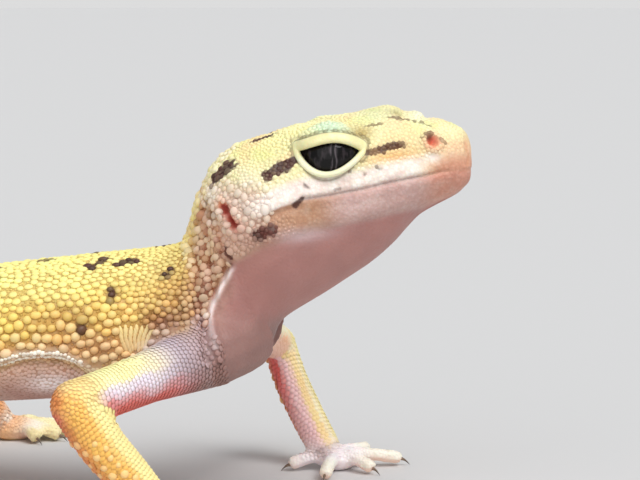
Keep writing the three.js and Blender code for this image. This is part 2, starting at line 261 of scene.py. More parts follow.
BELLY = np.array([(-144, 0), (-101, 0), (-92, 4.2), (-84, 7.4), (-78, 9.8), (-67, 11.9), (-54, 11.8),
                  (-38, 12.2), (-24, 13.2), (-15, 14.2), (-10, 15.1), (-6, 17.3), (-4.3, 21.5), (3.2, 26.4),
                  (8.7, 30.8), (11, 33.5), (15, 36), (17, 38)])
MIDLINE = np.array([(18, 0), (-13, 0), (-24, 0.8), (-30.5, 1.7), (-38, 2.9), (-46, 4.3), (-54, 5.8),
                    (-61, 7.2), (-67, 8.4), (-72.5, 9.2), (-78, 9.9), (-84.5, 10.4), (-92, 10.2),
                    (-96.5, 9.5), (-100.5, 8.4), (-105, 6.9), (-109, 4.9), (-113, 2.7), (-117, 0),
                    (-121, -3.0), (-124.5, -6.2), (-128, -9.7), (-131, -13.4), (-136.5, -21), (-141, -29),
                    (-144, -34)])
VENT = 96.4  # how far the vent is along the midline
EYE = np.array((1.12, 5.9, 40.5))  # the left eyeball's middle; the right one is its mirror image
EYE_RADIUS = 3.3
EYE_CORNERS = (-2.2, 4.28, 41.35)  # the rear and front corner of the opening, and their height


def level_on(line, x):
    """How high a line seen from the side is, at each x."""
    return np.interp(x, line[:, 0], line[:, 1])


print("tail", round(float(lengths(np.diff(MIDLINE, axis=0)).sum() - VENT), 1), "mm long")

# %% [markdown]
# The skin starts as copies of all the solids of flesh. They are swollen a little so that the thin cuts
# between them close, and remeshed into one even surface with no seam. The eyeballs are filled in too, because
# the lids are shaped afterwards.

# %% One body from all the solids of flesh
SWELL = 0.35 * MM
VOXEL = 0.31 * MM
FLESH = [name for name in nodes if not name.startswith(("eye", "claw"))]


def applied(piece):
    """The piece with its modifiers made permanent."""
    graph = bpy.context.evaluated_depsgraph_get()
    mesh = bpy.data.meshes.new_from_object(piece.evaluated_get(graph), depsgraph=graph)
    old = piece.data
    piece.modifiers.clear()
    piece.vertex_groups.clear()
    piece.data = mesh
    bpy.data.meshes.remove(old)
    return piece


swollen = bmesh.new()
for name in FLESH:
    swollen.from_mesh(nodes[name].data)
bmesh.ops.remove_doubles(swollen, verts=swollen.verts, dist=1e-6)
swollen.normal_update()
for vert in swollen.verts:
    vert.co += vert.normal * SWELL
for side in (1, -1):
    middle = to_metres(EYE * (1, side, 1))
    bmesh.ops.create_icosphere(
        swollen, subdivisions=4, radius=(EYE_RADIUS + 0.6) * MM + SWELL, matrix=Matrix.Translation(middle)
    )
skin = show("skin", mesh_of(swollen, "skin"))
remesh = skin.modifiers.new("fuse", "REMESH")
remesh.mode = "VOXEL"
remesh.voxel_size = VOXEL
applied(skin)
print("fused skin:", len(skin.data.vertices), "points")

# %% [markdown]
# Every point of the skin is told which measured part it belongs to, by finding the nearest face of the
# solids. Limbs, feet, head and trunk can then be smoothed, shaped and coloured each in its own way.

# %% Which part of the body each point belongs to
PARTS = sorted(nodes)
TRUNK = ("chest", "belly", "pelvis")
LIMBS = ("upper_arm", "forearm", "thigh", "shank")
PAWS = ("hand", "foot")
part_points, part_faces, part_of_face = [], [], []
for number, name in enumerate(PARTS):
    mesh = nodes[name].data
    first = len(part_points)
    part_points += [v.co.copy() for v in mesh.vertices]
    part_faces += [tuple(first + i for i in p.vertices) for p in mesh.polygons]
    part_of_face += [number] * len(mesh.polygons)
solids = BVHTree.FromPolygons(part_points, part_faces)


def part_at(points):
    """The number of the part nearest each point, given in metres."""
    return np.array([part_of_face[solids.find_nearest(Vector(p))[2]] for p in points])


def belongs(part, *starts):
    """Which points are of a part whose name starts with one of these words."""
    chosen = [n for n, name in enumerate(PARTS) if name.startswith(starts)]
    return np.isin(part, chosen)


part = part_at(read_points(skin.data))
print({PARTS[n]: int((part == n).sum()) for n in np.unique(part)[:8]})

# %% [markdown]
# The fused surface still shows the joins and flats of the solids. A Smooth modifier eases them away. It
# works fully on the trunk, less on the limbs, and hardly at all on the toes, which it would thin.

# %% Ease the fused surface
EASE = [(("head", "lower_jaw"), 0.75), (("upper_arm", "thigh"), 0.5), (("forearm", "shank"), 0.3),
        (PAWS + ("claw",), 0.07), (("tail_tip",), 0.4)]
EASE_ROUNDS = 36


def by_part(part, usual, table):
    """A number for each point: the usual one, or the one that the table has for its part."""
    values = np.full(len(part), usual)
    for starts, value in table:
        values[belongs(part, *starts)] = value
    return values


def weight_group(piece, name, weights):
    """A vertex group with one weight for each point of a piece."""
    group = piece.vertex_groups.new(name=name)
    for level in np.unique(weights):
        group.add(np.flatnonzero(weights == level).tolist(), float(level), "REPLACE")
    return group.name


relax = skin.modifiers.new("relax", "SMOOTH")
relax.factor = 0.5
relax.iterations = EASE_ROUNDS
relax.vertex_group = weight_group(skin, "ease", by_part(part, 1.0, EASE))
applied(skin)
print("eased in", EASE_ROUNDS, "rounds")

# %% [markdown]
# A place on the body is easiest to speak of by how high it is on the side, from 0 at the belly to 1 on the
# back, and how far along the animal it is. On the legs the same is done along each bone.

# %% Where on the body a point is
JOINTS = {
    "right_fore": [(-11.7, -7.4, 19.4), (-25.2, -20.9, 16.2), (-14.9, -19.6, 2.8)],
    "left_fore": [(-10.2, 8.0, 20.2), (-5.1, 23.9, 14.8), (0.7, 18.7, 2.5)],
    "left_hind": [(-65.5, 14.5, 17.4), (-51.0, 28.6, 15.0), (-42.3, 34.6, 2.8)],
    "right_hind": [(-67.2, 2.2, 17.4), (-62.6, -14.4, 15.2), (-69.0, -21.0, 2.8)],
}


def rise_at(points):
    top, low = level_on(BACK, points[:, 0]), level_on(BELLY, points[:, 0])
    return (points[:, 2] - low) / np.maximum(top - low, 0.5)


def length_at(points):
    return to_line(points[:, :2], MIDLINE)[1]


def above_mouth(points):
    return points[:, 2] - level_on(MOUTH, points[:, 0])


def above_jaw_edge(points):
    return points[:, 2] - level_on(JAW_EDGE, points[:, 0])


def to_bend(joints):
    """How long the upper bone of a leg is, from its root to the elbow or knee."""
    return np.linalg.norm(np.subtract(joints[1], joints[0]))


for name, joints in JOINTS.items():
    print(name, "bends", round(float(to_bend(joints)), 1), "mm from its root")

# %% [markdown]
# The eye's opening is almond-shaped. The upper lid is a low arch and the lower one a deep bow, and both are
# worked out from how far along between the two corners a place is.

# %% The opening of the eye


def lid_edges(share):
    """The heights of the upper and the lower lid's edge, from the rear corner at 0 to the front one at 1."""
    upper = EYE_CORNERS[2] + 1.0 * np.sin(math.pi * share**1.25) ** 0.8
    lower = EYE_CORNERS[2] - 2.1 * np.sin(math.pi * share**0.84) ** 0.85
    return upper, lower


def in_opening(points):
    """How far each point is outside the eye's opening, in mm, negative inside, seen from the side."""
    rear, front, height = EYE_CORNERS
    share = np.clip((points[:, 0] - rear) / (front - rear), 0.0, 1.0)
    upper, lower = lid_edges(share)
    outside = np.maximum(points[:, 2] - upper, lower - points[:, 2])
    beyond = np.maximum(rear - points[:, 0], points[:, 0] - front)
    corner = np.hypot(np.maximum(beyond, 0.0), np.abs(points[:, 2] - height) * 0.8)
    return np.where(beyond > 0, corner, outside)


print("the eye opens", np.round(np.subtract(*lid_edges(0.5)), 2), "mm high at its middle")

# %% [markdown]
# The smallest features of the head and neck each get a line or a place of their own: the slit of the ear,
# the nostril, and the fold where the throat meets the neck. Distances from them say where the skin dips.

# %% The ear, the nostril and the neck's fold
EAR = np.array([(-10.45, 35.3), (-9.95, 34.5), (-9.2, 33.4)])
NOSTRIL = np.array((12.35, 4.6, 42.2))
NECK_FOLD = np.array([(-8.8, 29.4), (-10.0, 28.2), (-10.9, 26.6), (-11.8, 24.9), (-12.2, 23.4), (-12.0, 22.2),
                      (-11.3, 20.4)])


def in_side_view(points):
    return points[:, [0, 2]]


def from_nostril(points):
    """How far each point is from the nostril of its own side, in mm."""
    side = np.sign(points[:, 1])[:, None]
    return lengths(points - np.where((0, 1, 0), side * NOSTRIL, NOSTRIL))


def from_ear(points):
    """How far each point is from the ear's slit in side view, in mm, a little ragged."""
    return to_line(in_side_view(points), EAR)[0] + 0.16 * ripple(points, 0.8, 61)


def ahead_of_fold(points):
    """How far in front of the neck's fold each point is, in mm."""
    upwards = NECK_FOLD[::-1]
    return points[:, 0] - np.interp(points[:, 2], upwards[:, 1], upwards[:, 0])


print("the ear's slit is", round(float(np.linalg.norm(EAR[-1] - EAR[0])), 1), "mm long")

# %% [markdown]
# The mouth, the lids, the nostrils and the ears need a closer mesh than the fused surface has. Their edges
# are split once more, and the new points are eased so that no facets of the coarser mesh remain.

# %% A closer mesh at the mouth, eyes, nostrils and ears


def close_area(points):
    y, z = points[:, 1], points[:, 2]
    side_view = in_side_view(points)
    rim = in_opening(points)
    area = (to_line(side_view, MOUTH[1:])[0] < 1.0) & (z > 33)
    area |= (rim > -0.8) & (rim < 1.9) & (np.abs(y) > 4.5)
    area |= from_nostril(points) < 2.2
    area |= (to_line(side_view, EAR)[0] < 1.7) & (np.abs(y) > 4)
    area |= (to_line(side_view, NECK_FOLD)[0] < 1.2) & (np.abs(y) > 3)
    return area


def ease_points(bm, verts, factor):
    bmesh.ops.smooth_vert(bm, verts=verts, factor=factor, use_axis_x=True, use_axis_y=True, use_axis_z=True)


closer = bmesh.new()
closer.from_mesh(skin.data)
near = close_area(to_mm(read_points(skin.data)))
edges = [e for e in closer.edges if near[e.verts[0].index] and near[e.verts[1].index]]
split = bmesh.ops.subdivide_edges(closer, edges=edges, cuts=1, use_grid_fill=True)
added = [g for g in split["geom_inner"] if isinstance(g, bmesh.types.BMVert)]
for _ in range(3):
    ease_points(closer, added, 0.5)
closer.to_mesh(skin.data)
closer.free()
part = part_at(read_points(skin.data))
print("closer skin:", len(skin.data.vertices), "points")

# %% [markdown]
# Now the fused body is shaped as a sculptor would, by moving points in or out along the surface. It is
# first drawn in to make room for the scales, most of all where the beads are thick. How far changes from
# part to part, so it is averaged over the neighbours until no step is left.

# %% How deep the skin lies
COAT = [(("head",), 0.08), (("neck",), 0.2), (("lower_jaw", "throat", "claw") + PAWS, 0.02),
        (LIMBS + ("tail_tip",), 0.12), (("eye",), 0.1)]


def coat_depth(points, part):
    """How far the skin lies under the measured surface, in mm, to leave room for the scales."""
    return by_part(part, 0.32, COAT) * (smooth(rise_at(points), 0, 0.3) * 0.6 + 0.4)


def averaged(values, mesh, rounds):
    """Each point's value, averaged with its neighbours' again and again."""
    ends = np.empty(len(mesh.edges) * 2, np.int32)
    mesh.edges.foreach_get("vertices", ends)
    a, b = ends.reshape(-1, 2).T
    count = np.bincount(ends, minlength=len(values)) + 1.0
    for _ in range(rounds):
        total = np.bincount(a, values[b], len(values)) + np.bincount(b, values[a], len(values))
        values = (values + total) / count
    return values


depths = coat_depth(to_mm(read_points(skin.data)), part)
print("the skin lies", round(float(depths.min()), 3), "to", round(float(depths.max()), 3), "mm deep")

# %% [markdown]
# Each line of the next three functions is one feature of the face: the mouth's slit and the lips, the edge
# of the jaw, the full cheek, the hollow before the eye, the plates of the snout and the brow. A feature is
# a bell or a soft step of a distance, which leaves no hard edge in the skin.

# %% Shape the head
SNOUT_BUMPS = np.array([(4.5, 0), (6.4, 0.1), (7.8, 0.22), (8.5, 0.12), (9.2, -0.16), (9.9, -0.04),
                        (10.5, 0.2), (11.2, 0.2), (11.8, -0.3), (12.6, -0.15), (13.6, 0)])
SNOUT_PLATE = [(16.05, 41.9), (16.4, 40.6), (16.3, 39.6)]
BROW = [(-3.2, 42.9), (-0.5, 43.7), (2.5, 43.9), (5.2, 43.3)]


def patch(a, b, middle, reach):
    """1 at a middle given by two coordinates, falling off over a reach in each."""
    return bell(np.hypot((a - middle[0]) / reach[0], (b - middle[1]) / reach[1]), 1)


def shape_mouth(out, points, facing, head):
    """Adds to each point's move, in mm, what the mouth, the lips and the jaw's edge call for."""
    x = points[:, 0]
    side_view = in_side_view(points)
    mouth_gap, _ = to_line(side_view, MOUTH[2:])
    open_part = smooth(x, -3.2, -1.4)
    open_part *= 1 - 0.8 * smooth(x, 12.4, 15)
    out += head * open_part * (-0.34 * bell(mouth_gap, 0.2) + 0.12 * bell(mouth_gap - 0.75, 0.5))
    out -= head * 0.1 * bell(to_line(side_view, SNOUT_PLATE)[0], 0.2)
    lip_band, _ = to_line(side_view, MOUTH[:4] + (0.0, 0.35))
    out += head * 0.3 * bell(lip_band, 0.55) * smooth(-x, -1.5, 1)
    below_lip, _ = to_line(side_view, MOUTH[:3] + (-0.3, -0.7))
    out -= head * 0.28 * bell(below_lip, 0.4) * smooth(-x, 0, 2)
    jaw_gap, _ = to_line(side_view, JAW_EDGE)
    jaw_step = bell(jaw_gap - 1, 0.9) * np.sign(above_jaw_edge(points)) - bell(jaw_gap, 0.5)
    out += head * (facing > 0.2) * 0.12 * jaw_step


def shape_face(out, points, normals, head):
    """The same for the cheek, the temple, the snout and the brow."""
    x, y, z = points.T
    facing = np.abs(normals[:, 1])
    out += head * 0.45 * patch(x, z, (-5.2, 33.6), (3, 2.2)) * smooth(facing, 0.3, 0.8)
    out += head * 0.3 * patch(x, z, (-7, 38.6), (3.4, 2)) * smooth(facing, 0.2, 0.7)
    out -= head * 0.35 * patch(x, z, (8.6, 40.9), (3, 1.3)) * smooth(facing, 0.3, 0.8)
    on_top = smooth(normals[:, 2], 0.4, 0.85) * (1 - smooth(np.abs(y), 2.6, 3.8))
    out += head * on_top * level_on(SNOUT_BUMPS, x)
    out += head * 0.1 * ripple(points, 1.4, 63) * smooth(normals[:, 2], 0.3, 0.7)
    brow, _ = to_line(in_side_view(points), BROW)
    out += head * 0.22 * bell(brow, 0.7) * smooth(np.abs(y), 4.2, 6) * (1 - 0.9 * bell(x + 0.6, 1.6))
    out -= head * 0.16 * bell(x + 0.6, 1.4) * smooth(normals[:, 2], 0.4, 0.8)
    lash = (1 - smooth(in_opening(points), 1.2, 2.2)) * (np.abs(y) > 4.5)
    out -= head * 0.35 * lash * smooth(z, 43, 44.2)


def shape_details(out, points, head):
    """The same for the seams between the lip plates and for the nostrils."""
    x = points[:, 0]
    plates = np.sin(math.pi * to_line(in_side_view(points), MOUTH[2:])[1] / 1.3) ** 2
    lips = bell(np.abs(above_mouth(points)) - 0.7, 0.45) * smooth(x, -1.5, 0.5) * (1 - smooth(x, 14.5, 15.5))
    out -= head * 0.07 * bell(plates, 0.16) * lips
    hole = from_nostril(points)
    out += head * (0.3 * bell(hole - 0.95, 0.45) - 0.9 * bell(hole, 0.5))


print("the snout's bumps stand", SNOUT_BUMPS[:, 1].max(), "mm high and dip", -SNOUT_BUMPS[:, 1].min(), "mm")

# %% [markdown]
# Behind the head come the ear's slit, the wrinkles and the deep fold of the turned neck, the fold of skin
# that parts the side from the belly, and the tail's rings, with a shallow groove every few millimetres.

# %% Shape the neck, flank and tail
FLANK_FOLD = np.array([(-64, 17.0), (-52, 16.6), (-42, 16.8), (-37, 17.6), (-34.6, 18.7), (-32.4, 19.4),
                       (-30.3, 19.6), (-28.4, 19.5), (-26.6, 18.8), (-24.6, 17.6)])
TAIL_RING = 3.3


def neck_wrinkles(points):
    """The wrinkles of the neck, from -1 in a crease to 1 on a ridge."""
    return np.sin(3.3 * (points[:, 0] + 0.14 * points[:, 2]) + 1.3 * ripple(points, 4.0, 62))


def shape_neck(out, points, facing, head, body):
    """Adds to each point's move what the ears and the neck call for."""
    x, z = points[:, 0], points[:, 2]
    ear = from_ear(points)
    out += (head | body) * (facing > 0.25) * (0.25 * bell(ear - 0.7, 0.4) - 1.1 * bell(ear, 0.31))
    gathered = smooth(-x, 8.6, 10.6) * smooth(x, -17, -14.5) * smooth(z, 22.5, 25)
    gathered *= smooth(facing, 0.2, 0.6)
    out += body * gathered * 0.27 * neck_wrinkles(points)
    fold, along = to_line(in_side_view(points), NECK_FOLD)
    ahead = ahead_of_fold(points)
    strength = smooth(along, 0, 2.5) * smooth(facing, 0.2, 0.6)
    out += strength * (0.55 * bell(ahead - 0.35, 0.5) - 0.75 * bell(ahead + 0.55, 0.5)) * (fold < 1.6)


def shape_side(out, points, facing, body):
    """The same for the flank and the tail."""
    x, z = points[:, 0], points[:, 2]
    above = z - level_on(FLANK_FOLD, x)
    strength = smooth(x, -66, -56) * smooth(-x, 23.6, 27) * smooth(facing, 0.3, 0.7)
    out += body * strength * (0.5 * bell(above - 0.1, 0.5) - 0.7 * bell(above + 0.9, 0.6))
    out += body * 0.12 * ripple(points, 3.6, 5) * smooth(facing, 0.2, 0.6)
    tail = length_at(points) - VENT
    rings = np.sin(2 * math.pi * tail / TAIL_RING)
    out += smooth(tail, 2, 10) * 0.2 * np.sign(rings) * np.abs(rings) ** 0.7 * smooth(-tail, -82, -70)


def shaped(points, normals, part):
    """How far each point moves out along the surface, in mm."""
    facing = np.abs(normals[:, 1])
    head = belongs(part, "head", "lower_jaw", "throat", "eye")
    body = belongs(part, "neck", *TRUNK)
    out = -averaged(coat_depth(points, part), skin.data, 12)
    shape_mouth(out, points, facing, head)
    shape_face(out, points, normals, head)
    shape_details(out, points, head)
    shape_neck(out, points, facing, head, body)
    shape_side(out, points, facing, body)
    return out


print("a ring of the tail is", TAIL_RING, "mm wide")

# %% [markdown]
# The swelling and the easing have left the skin a little off the measured surface. That drift is measured
# at each point and taken away first, so that the shaping starts from the true surface. The eyes' openings
# are sunk last, and the surface from before that is kept, because the lids will be laid on it.

# %% Move the skin's points
MOST_DRIFT = 0.8 * MM
EYE_SINK = 1.9
swollen_points = read_points(skin.data)
facing_out = read_normals(skin.data)
nearest = np.array([solids.find_nearest(Vector(p))[0] for p in swollen_points])
drift = ((swollen_points - nearest) * facing_out).sum(1)
drift[belongs(part, "eye")] = SWELL
drift = averaged(np.clip(drift, -MOST_DRIFT, MOST_DRIFT), skin.data, 24)
resting = swollen_points - facing_out * drift[:, None]
print("the eased skin stood", round(float(drift.mean()) / MM, 3), "mm proud on average")


def tree_over(points, mesh):
    """A search tree over a mesh's faces, with its points at these places."""
    return BVHTree.FromPolygons([tuple(p) for p in points], [tuple(p.vertices) for p in mesh.polygons])


moves = shaped(to_mm(resting), facing_out, part)
closed_eyes = resting + facing_out * moves[:, None] * MM
lid_ground = tree_over(closed_eyes, skin.data)
opening = in_opening(to_mm(closed_eyes))
eye_side = belongs(part, "head", "eye") & (np.abs(to_mm(closed_eyes)[:, 1]) > 5.0)
moves -= eye_side * EYE_SINK * smooth(0.4 - opening, 0, 0.35)
write_points(skin.data, resting + facing_out * moves[:, None] * MM)
print("moved by", round(float(moves.min()), 2), "to", round(float(moves.max()), 2), "mm")

# %% [markdown]
# The skin keeps its closest mesh on the head and the feet. Elsewhere, where scales will cover it, most of
# the triangles can go. A Decimate modifier takes them, weighted by part, because it keeps the shape better
# than a coarser remesh would. The flats that the animal stands on are laid exactly on the floor.

# %% Thin the mesh where it is covered
SKIN_TRIANGLES = 190_000
KEEP = [(("head", "lower_jaw", "eye"), 1.0), (PAWS + ("throat",), 0.75),
        (("neck", "forearm", "upper_arm"), 0.45)]
triangles = sum(len(p.vertices) - 2 for p in skin.data.polygons)
group_name = weight_group(skin, "thin", 1.0 - by_part(part, 0.12, KEEP))
if triangles > SKIN_TRIANGLES:
    thin = skin.modifiers.new("thin", "DECIMATE")
    thin.ratio = SKIN_TRIANGLES / triangles
    thin.vertex_group = group_name
    thin.vertex_group_factor = 1.0
    applied(skin)
points = read_points(skin.data)
points[:, 2] = np.maximum(points[:, 2], 0.0)
write_points(skin.data, points)
smooth_faces(skin.data)
print("skin:", sum(len(p.vertices) - 2 for p in skin.data.polygons), "triangles")

# %% [markdown]
# The colours of the animal: lemon yellow on the back and crown, tan on the shoulder, a grey-pink belly, a
# dusky pink throat, whitish lips, and lilac, rose and amber on the legs. They are laid by place, as with
# thin paint, and the skin and the scales share one painting, so that a scale matches the skin it grows on.

# %% The colours of the parts
LEMON = (1.0, 0.95, 0.60)
GOLD = (0.98, 0.87, 0.44)
CREAM = (0.97, 0.94, 0.72)
TAN = (0.67, 0.45, 0.20)
MAUVE = (0.60, 0.45, 0.42)
BEIGE = (0.95, 0.86, 0.68)
GREY_PINK = (0.88, 0.76, 0.71)
DUSKY = (0.72, 0.51, 0.48)
SALMON = (0.85, 0.59, 0.49)
PEACH = (0.94, 0.77, 0.61)
LIP_WHITE = (1.0, 0.96, 0.92)
LILAC = (0.94, 0.89, 0.93)
ROSE = (0.91, 0.45, 0.42)
AMBER = (1.0, 0.76, 0.38)
RUST = (0.86, 0.47, 0.28)
IVORY = (1.0, 0.97, 0.90)
SPOT_AND_SHADOW_INK = (0.30, 0.155, 0.135)
RED = (0.83, 0.36, 0.31)
MINT = (0.86, 0.97, 0.84)


def linear(colour):
    """A colour as it looks, turned into the light it reflects."""
    colour = np.asarray(colour, float)
    return np.where(colour <= 0.04045, colour / 12.92, ((colour + 0.055) / 1.055) ** 2.4)


def coat_of(seen, count):
    """One colour, given as it looks, for that many points."""
    return np.repeat(linear(seen)[None], count, 0)


def mix(under, over, amount):
    amount = np.clip(np.asarray(amount, float), 0.0, 1.0)[:, None]
    return under * (1.0 - amount) + over * amount


def glaze(under, seen, amount):
    """One colour, given as it looks, laid over what is there by that amount."""
    return mix(under, linear(seen), amount)


print("lemon reflects", linear(LEMON).round(2))

# %% [markdown]
# The dark spots are short strokes, each given by its two ends and its half width. The head's are the same on
# both sides, and a few stand in fixed places behind the right shoulder. Three of the head's strokes, along
# the top of the snout, are not spots but painted shadow under its ridge.

# %% The places of the dark spots and of painted shadow lines
HEAD_SPOTS_AND_SHADOW_LINES = [
    ((-5.7, 9.4, 38.95), (-3.1, 8.4, 40.35), 0.72, 1.0),
    ((-11.15, 4.9, 38.25), (-9.85, 5.65, 39.35), 1.08, 1.0),
    ((4.8, 7.1, 41.1), (6.9, 6.7, 41.5), 0.34, 0.85),
    ((6.8, 6.6, 41.6), (8.3, 6.1, 41.85), 0.55, 1.0),
    ((8.6, 6.0, 41.95), (9.1, 5.8, 42.0), 0.36, 0.8),
    ((11.6, 4.4, 42.75), (12.2, 4.2, 43.1), 0.36, 0.75),
    ((11.1, 4.6, 42.3), (11.3, 4.6, 42.4), 0.26, 0.5),
    ((13.3, 4.2, 42.3), (13.6, 4.1, 41.9), 0.26, 0.6),
    ((-6.5, 10.1, 32.65), (-5.2, 10.5, 33.1), 0.54, 1.0),
    ((-10.0, 8.3, 30.7), (-9.5, 8.5, 29.95), 0.36, 0.95),
    ((-2.7, 9.9, 36.0), (-2.4, 9.9, 36.5), 0.44, 0.9),
    ((-1.5, 9.8, 37.8), (-1.3, 9.8, 37.7), 0.24, 0.8),
    ((6.2, 7.7, 39.6), (6.5, 7.6, 39.5), 0.2, 0.7),
    ((4.9, 8.2, 38.9), (5.0, 8.2, 38.9), 0.18, 0.7),
    ((3.2, 8.9, 39.2), (3.3, 8.9, 39.2), 0.16, 0.6),
    ((1.6, 9.2, 37.3), (2.2, 9.2, 37.4), 0.2, 0.5),
    ((-7.0, 2.3, 42.5), (-5.8, 2.1, 42.9), 0.8, 1.0),
    # The next three strokes are painted shadow: the dark line under the raised ridge of the snout's top.
    ((7.3, 3.2, 44.3), (8.6, 3.1, 44.25), 0.22, 0.75),
    ((8.9, 3.1, 44.2), (10.4, 3.0, 44.15), 0.2, 0.75),
    ((5.0, 4.7, 43.6), (6.6, 4.3, 43.75), 0.22, 0.7),
    ((11.0, 3.0, 43.9), (12.4, 2.9, 43.75), 0.22, 0.7),
]
BACK_SPOTS = [
    ((-25.8, -4.2, 28.3), (-23.8, -1.5, 29.4), 0.54),
    ((-21.8, -3.7, 28.55), (-20.9, -3.5, 28.8), 0.86),
    ((-17.0, -6.9, 27.5), (-16.7, -6.1, 28.5), 0.44),
    ((-22.9, -8.0, 25.5), (-22.6, -7.8, 26.2), 0.6),
    ((-25.9, -9.9, 22.4), (-25.6, -9.7, 22.9), 0.48),
]
strokes = []
skin_tree = tree_over(read_points(skin.data), skin.data)


def on_skin(place):
    """The place of the skin nearest a place given in mm."""
    return to_mm(skin_tree.find_nearest(Vector(to_metres(place)))[0])


def add_stroke(a, b, width, strength=1.0):
    a, b = np.array(a, float), np.array(b, float)
    line = np.array([on_skin(a), on_skin((a + b) / 2), on_skin(b) + (1e-4, 0, 0)])
    strokes.append((line, width, strength))


for a, b, width in BACK_SPOTS:
    add_stroke(a, b, width)
for a, b, width, strength in HEAD_SPOTS_AND_SHADOW_LINES:
    for side in (1, -1):
        add_stroke(np.array(a) * (1, side, 1), np.array(b) * (1, side, 1), width, strength)

print(len(strokes), "spots given by hand")

# %% [markdown]
# The rest of the spots are scattered. The points of the skin are tried in a shuffled order, and each one
# that lies far enough from all earlier spots gets a short stroke of its own, turned and sized at random.

# %% Scatter the spots of the back and tail
SPOT_SPACING = 4.6
rng = np.random.default_rng(11)
skin_points = to_mm(read_points(skin.data))
skin_part = part_at(read_points(skin.data))


def skin_of(*starts):
    return belongs(skin_part, *starts)


upper = rise_at(skin_points) > 0.42
behind = (skin_points[:, 0] < -36) | ((skin_points[:, 0] < -15) & (skin_points[:, 1] > 1.5))
allowed = upper & behind & skin_of("tail", *TRUNK)
taken = [line[1] for line, _, _ in strokes]
for index in rng.permutation(np.flatnonzero(allowed))[:4000]:
    place = skin_points[index]
    if min(np.linalg.norm(place - other) for other in taken) < SPOT_SPACING:
        continue
    turn = rng.uniform(0, math.pi)
    half = rng.uniform(0.3, 0.9) * np.array((math.cos(turn), math.sin(turn), 0.0))
    add_stroke(place - half, place + half, rng.uniform(0.55, 0.95), rng.uniform(0.75, 1.0))
    taken.append(place)
print(len(strokes), "dark spots in all")


def spots_and_shadow_lines(points):
    """How dark a point is, from 0 to 1, with a ragged edge to each spot or painted shadow line."""
    ragged = 0.3 * ripple(points, 0.6, 3)
    dark = np.zeros(len(points))
    for line, width, strength in strokes:
        reach = np.linalg.norm(line[2] - line[0]) / 2 + 2 * width
        near = np.flatnonzero(np.abs(points - line[1]).max(1) < reach)
        if len(near):
            gap, _ = to_line(points[near], line)
            here = strength * smooth(1 - gap / width + ragged[near], -0.12, 0.2)
            dark[near] = np.maximum(dark[near], here)
    return dark


def with_spots_and_shadow_lines(colour, dark, points):
    """The spots and painted shadow lines laid over the colours: dark, redder low on the head and browner on
    the snout.
    """
    reddish = smooth(-points[:, 2], -37.5, -34) * (points[:, 0] > -12)
    ink = glaze(coat_of(SPOT_AND_SHADOW_INK, len(points)), (0.33, 0.145, 0.11), reddish)
    ink = glaze(ink, (0.36, 0.20, 0.09), (points[:, 0] > 3.5) * 0.9)
    return mix(colour, ink * (1.0 + 0.3 * ripple(points, 1.2, 13))[:, None], dark)


# %% [markdown]
# Now the painting itself. Each line lays one colour over what is there, by an amount between 0 and 1 that
# says where it goes. The order matters, as it does with glazes. The head comes first: cream with a yellow
# crown, warmer along the snout, with a whitish upper lip, a pink chin and coral nostrils.

# %% Paint the head


def painted_snout(c, points):
    """The crown, the snout and the upper lip."""
    x, y, z = points.T
    lip = above_mouth(points)
    front = smooth(x, 10, 13.5)
    speckle = smooth(ripple(points, 1.8, 64), 0.1, 0.7)
    c = glaze(c, LEMON, 0.30 * smooth(-x, 0, 8) * smooth(lip, 3.5, 6))
    c = glaze(c, (0.98, 0.94, 0.82), 0.75 * patch(x, z, (-8.3, 38), (3.2, 1.6)))
    c = glaze(c, (0.93, 0.93, 0.64), 0.6 * speckle * smooth(lip, 3, 4.5))
    speckle = smooth(ripple(points, 2.2, 65), 0.1, 0.7)
    c = glaze(c, (0.98, 0.86, 0.66), 0.6 * speckle * smooth(lip, 2.5, 4))
    c = glaze(c, (0.97, 0.83, 0.62), 0.75 * patch(x, z, (8.8, 41.4), (4.2, 1.3)))
    c = glaze(c, (0.93, 0.70, 0.42), 0.8 * patch(x, z, (8, 40.5), (3.2, 0.8)))
    c = glaze(c, PEACH, 0.9 * smooth(x, 11, 14.5) * smooth(-z, -43.4, -41.4))
    on_bridge = smooth(-np.abs(y), -3.6, -2.6)
    c = glaze(c, (0.60, 0.54, 0.30), 0.85 * patch(x, z, (8.3, 44.9), (0.8, 0.6)) * on_bridge)
    # A whitish patch on the front bump of the snout: its pale tone, with a painted highlight on it.
    c = glaze(c, (0.96, 0.96, 0.84), 0.8 * patch(x, z, (11, 45), (1.2, 0.7)))
    c = glaze(c, (0.86, 0.90, 0.70), 0.5 * patch(x, z, (6, 44.9), (1.8, 0.7)))
    blotch = smooth(ripple(points, 1.1, 66), -0.1, 0.7)
    white = glaze(coat_of(LIP_WHITE, len(x)), (0.93, 0.84, 0.80), 0.6 * blotch * smooth(x, -6, -2))
    c = mix(c, white, (1 - smooth(lip, 1.5, 2.8)) * (1 - front * 0.9))
    return glaze(c, SALMON, front * (1 - smooth(lip, 0.6, 2.2)) * 0.8)


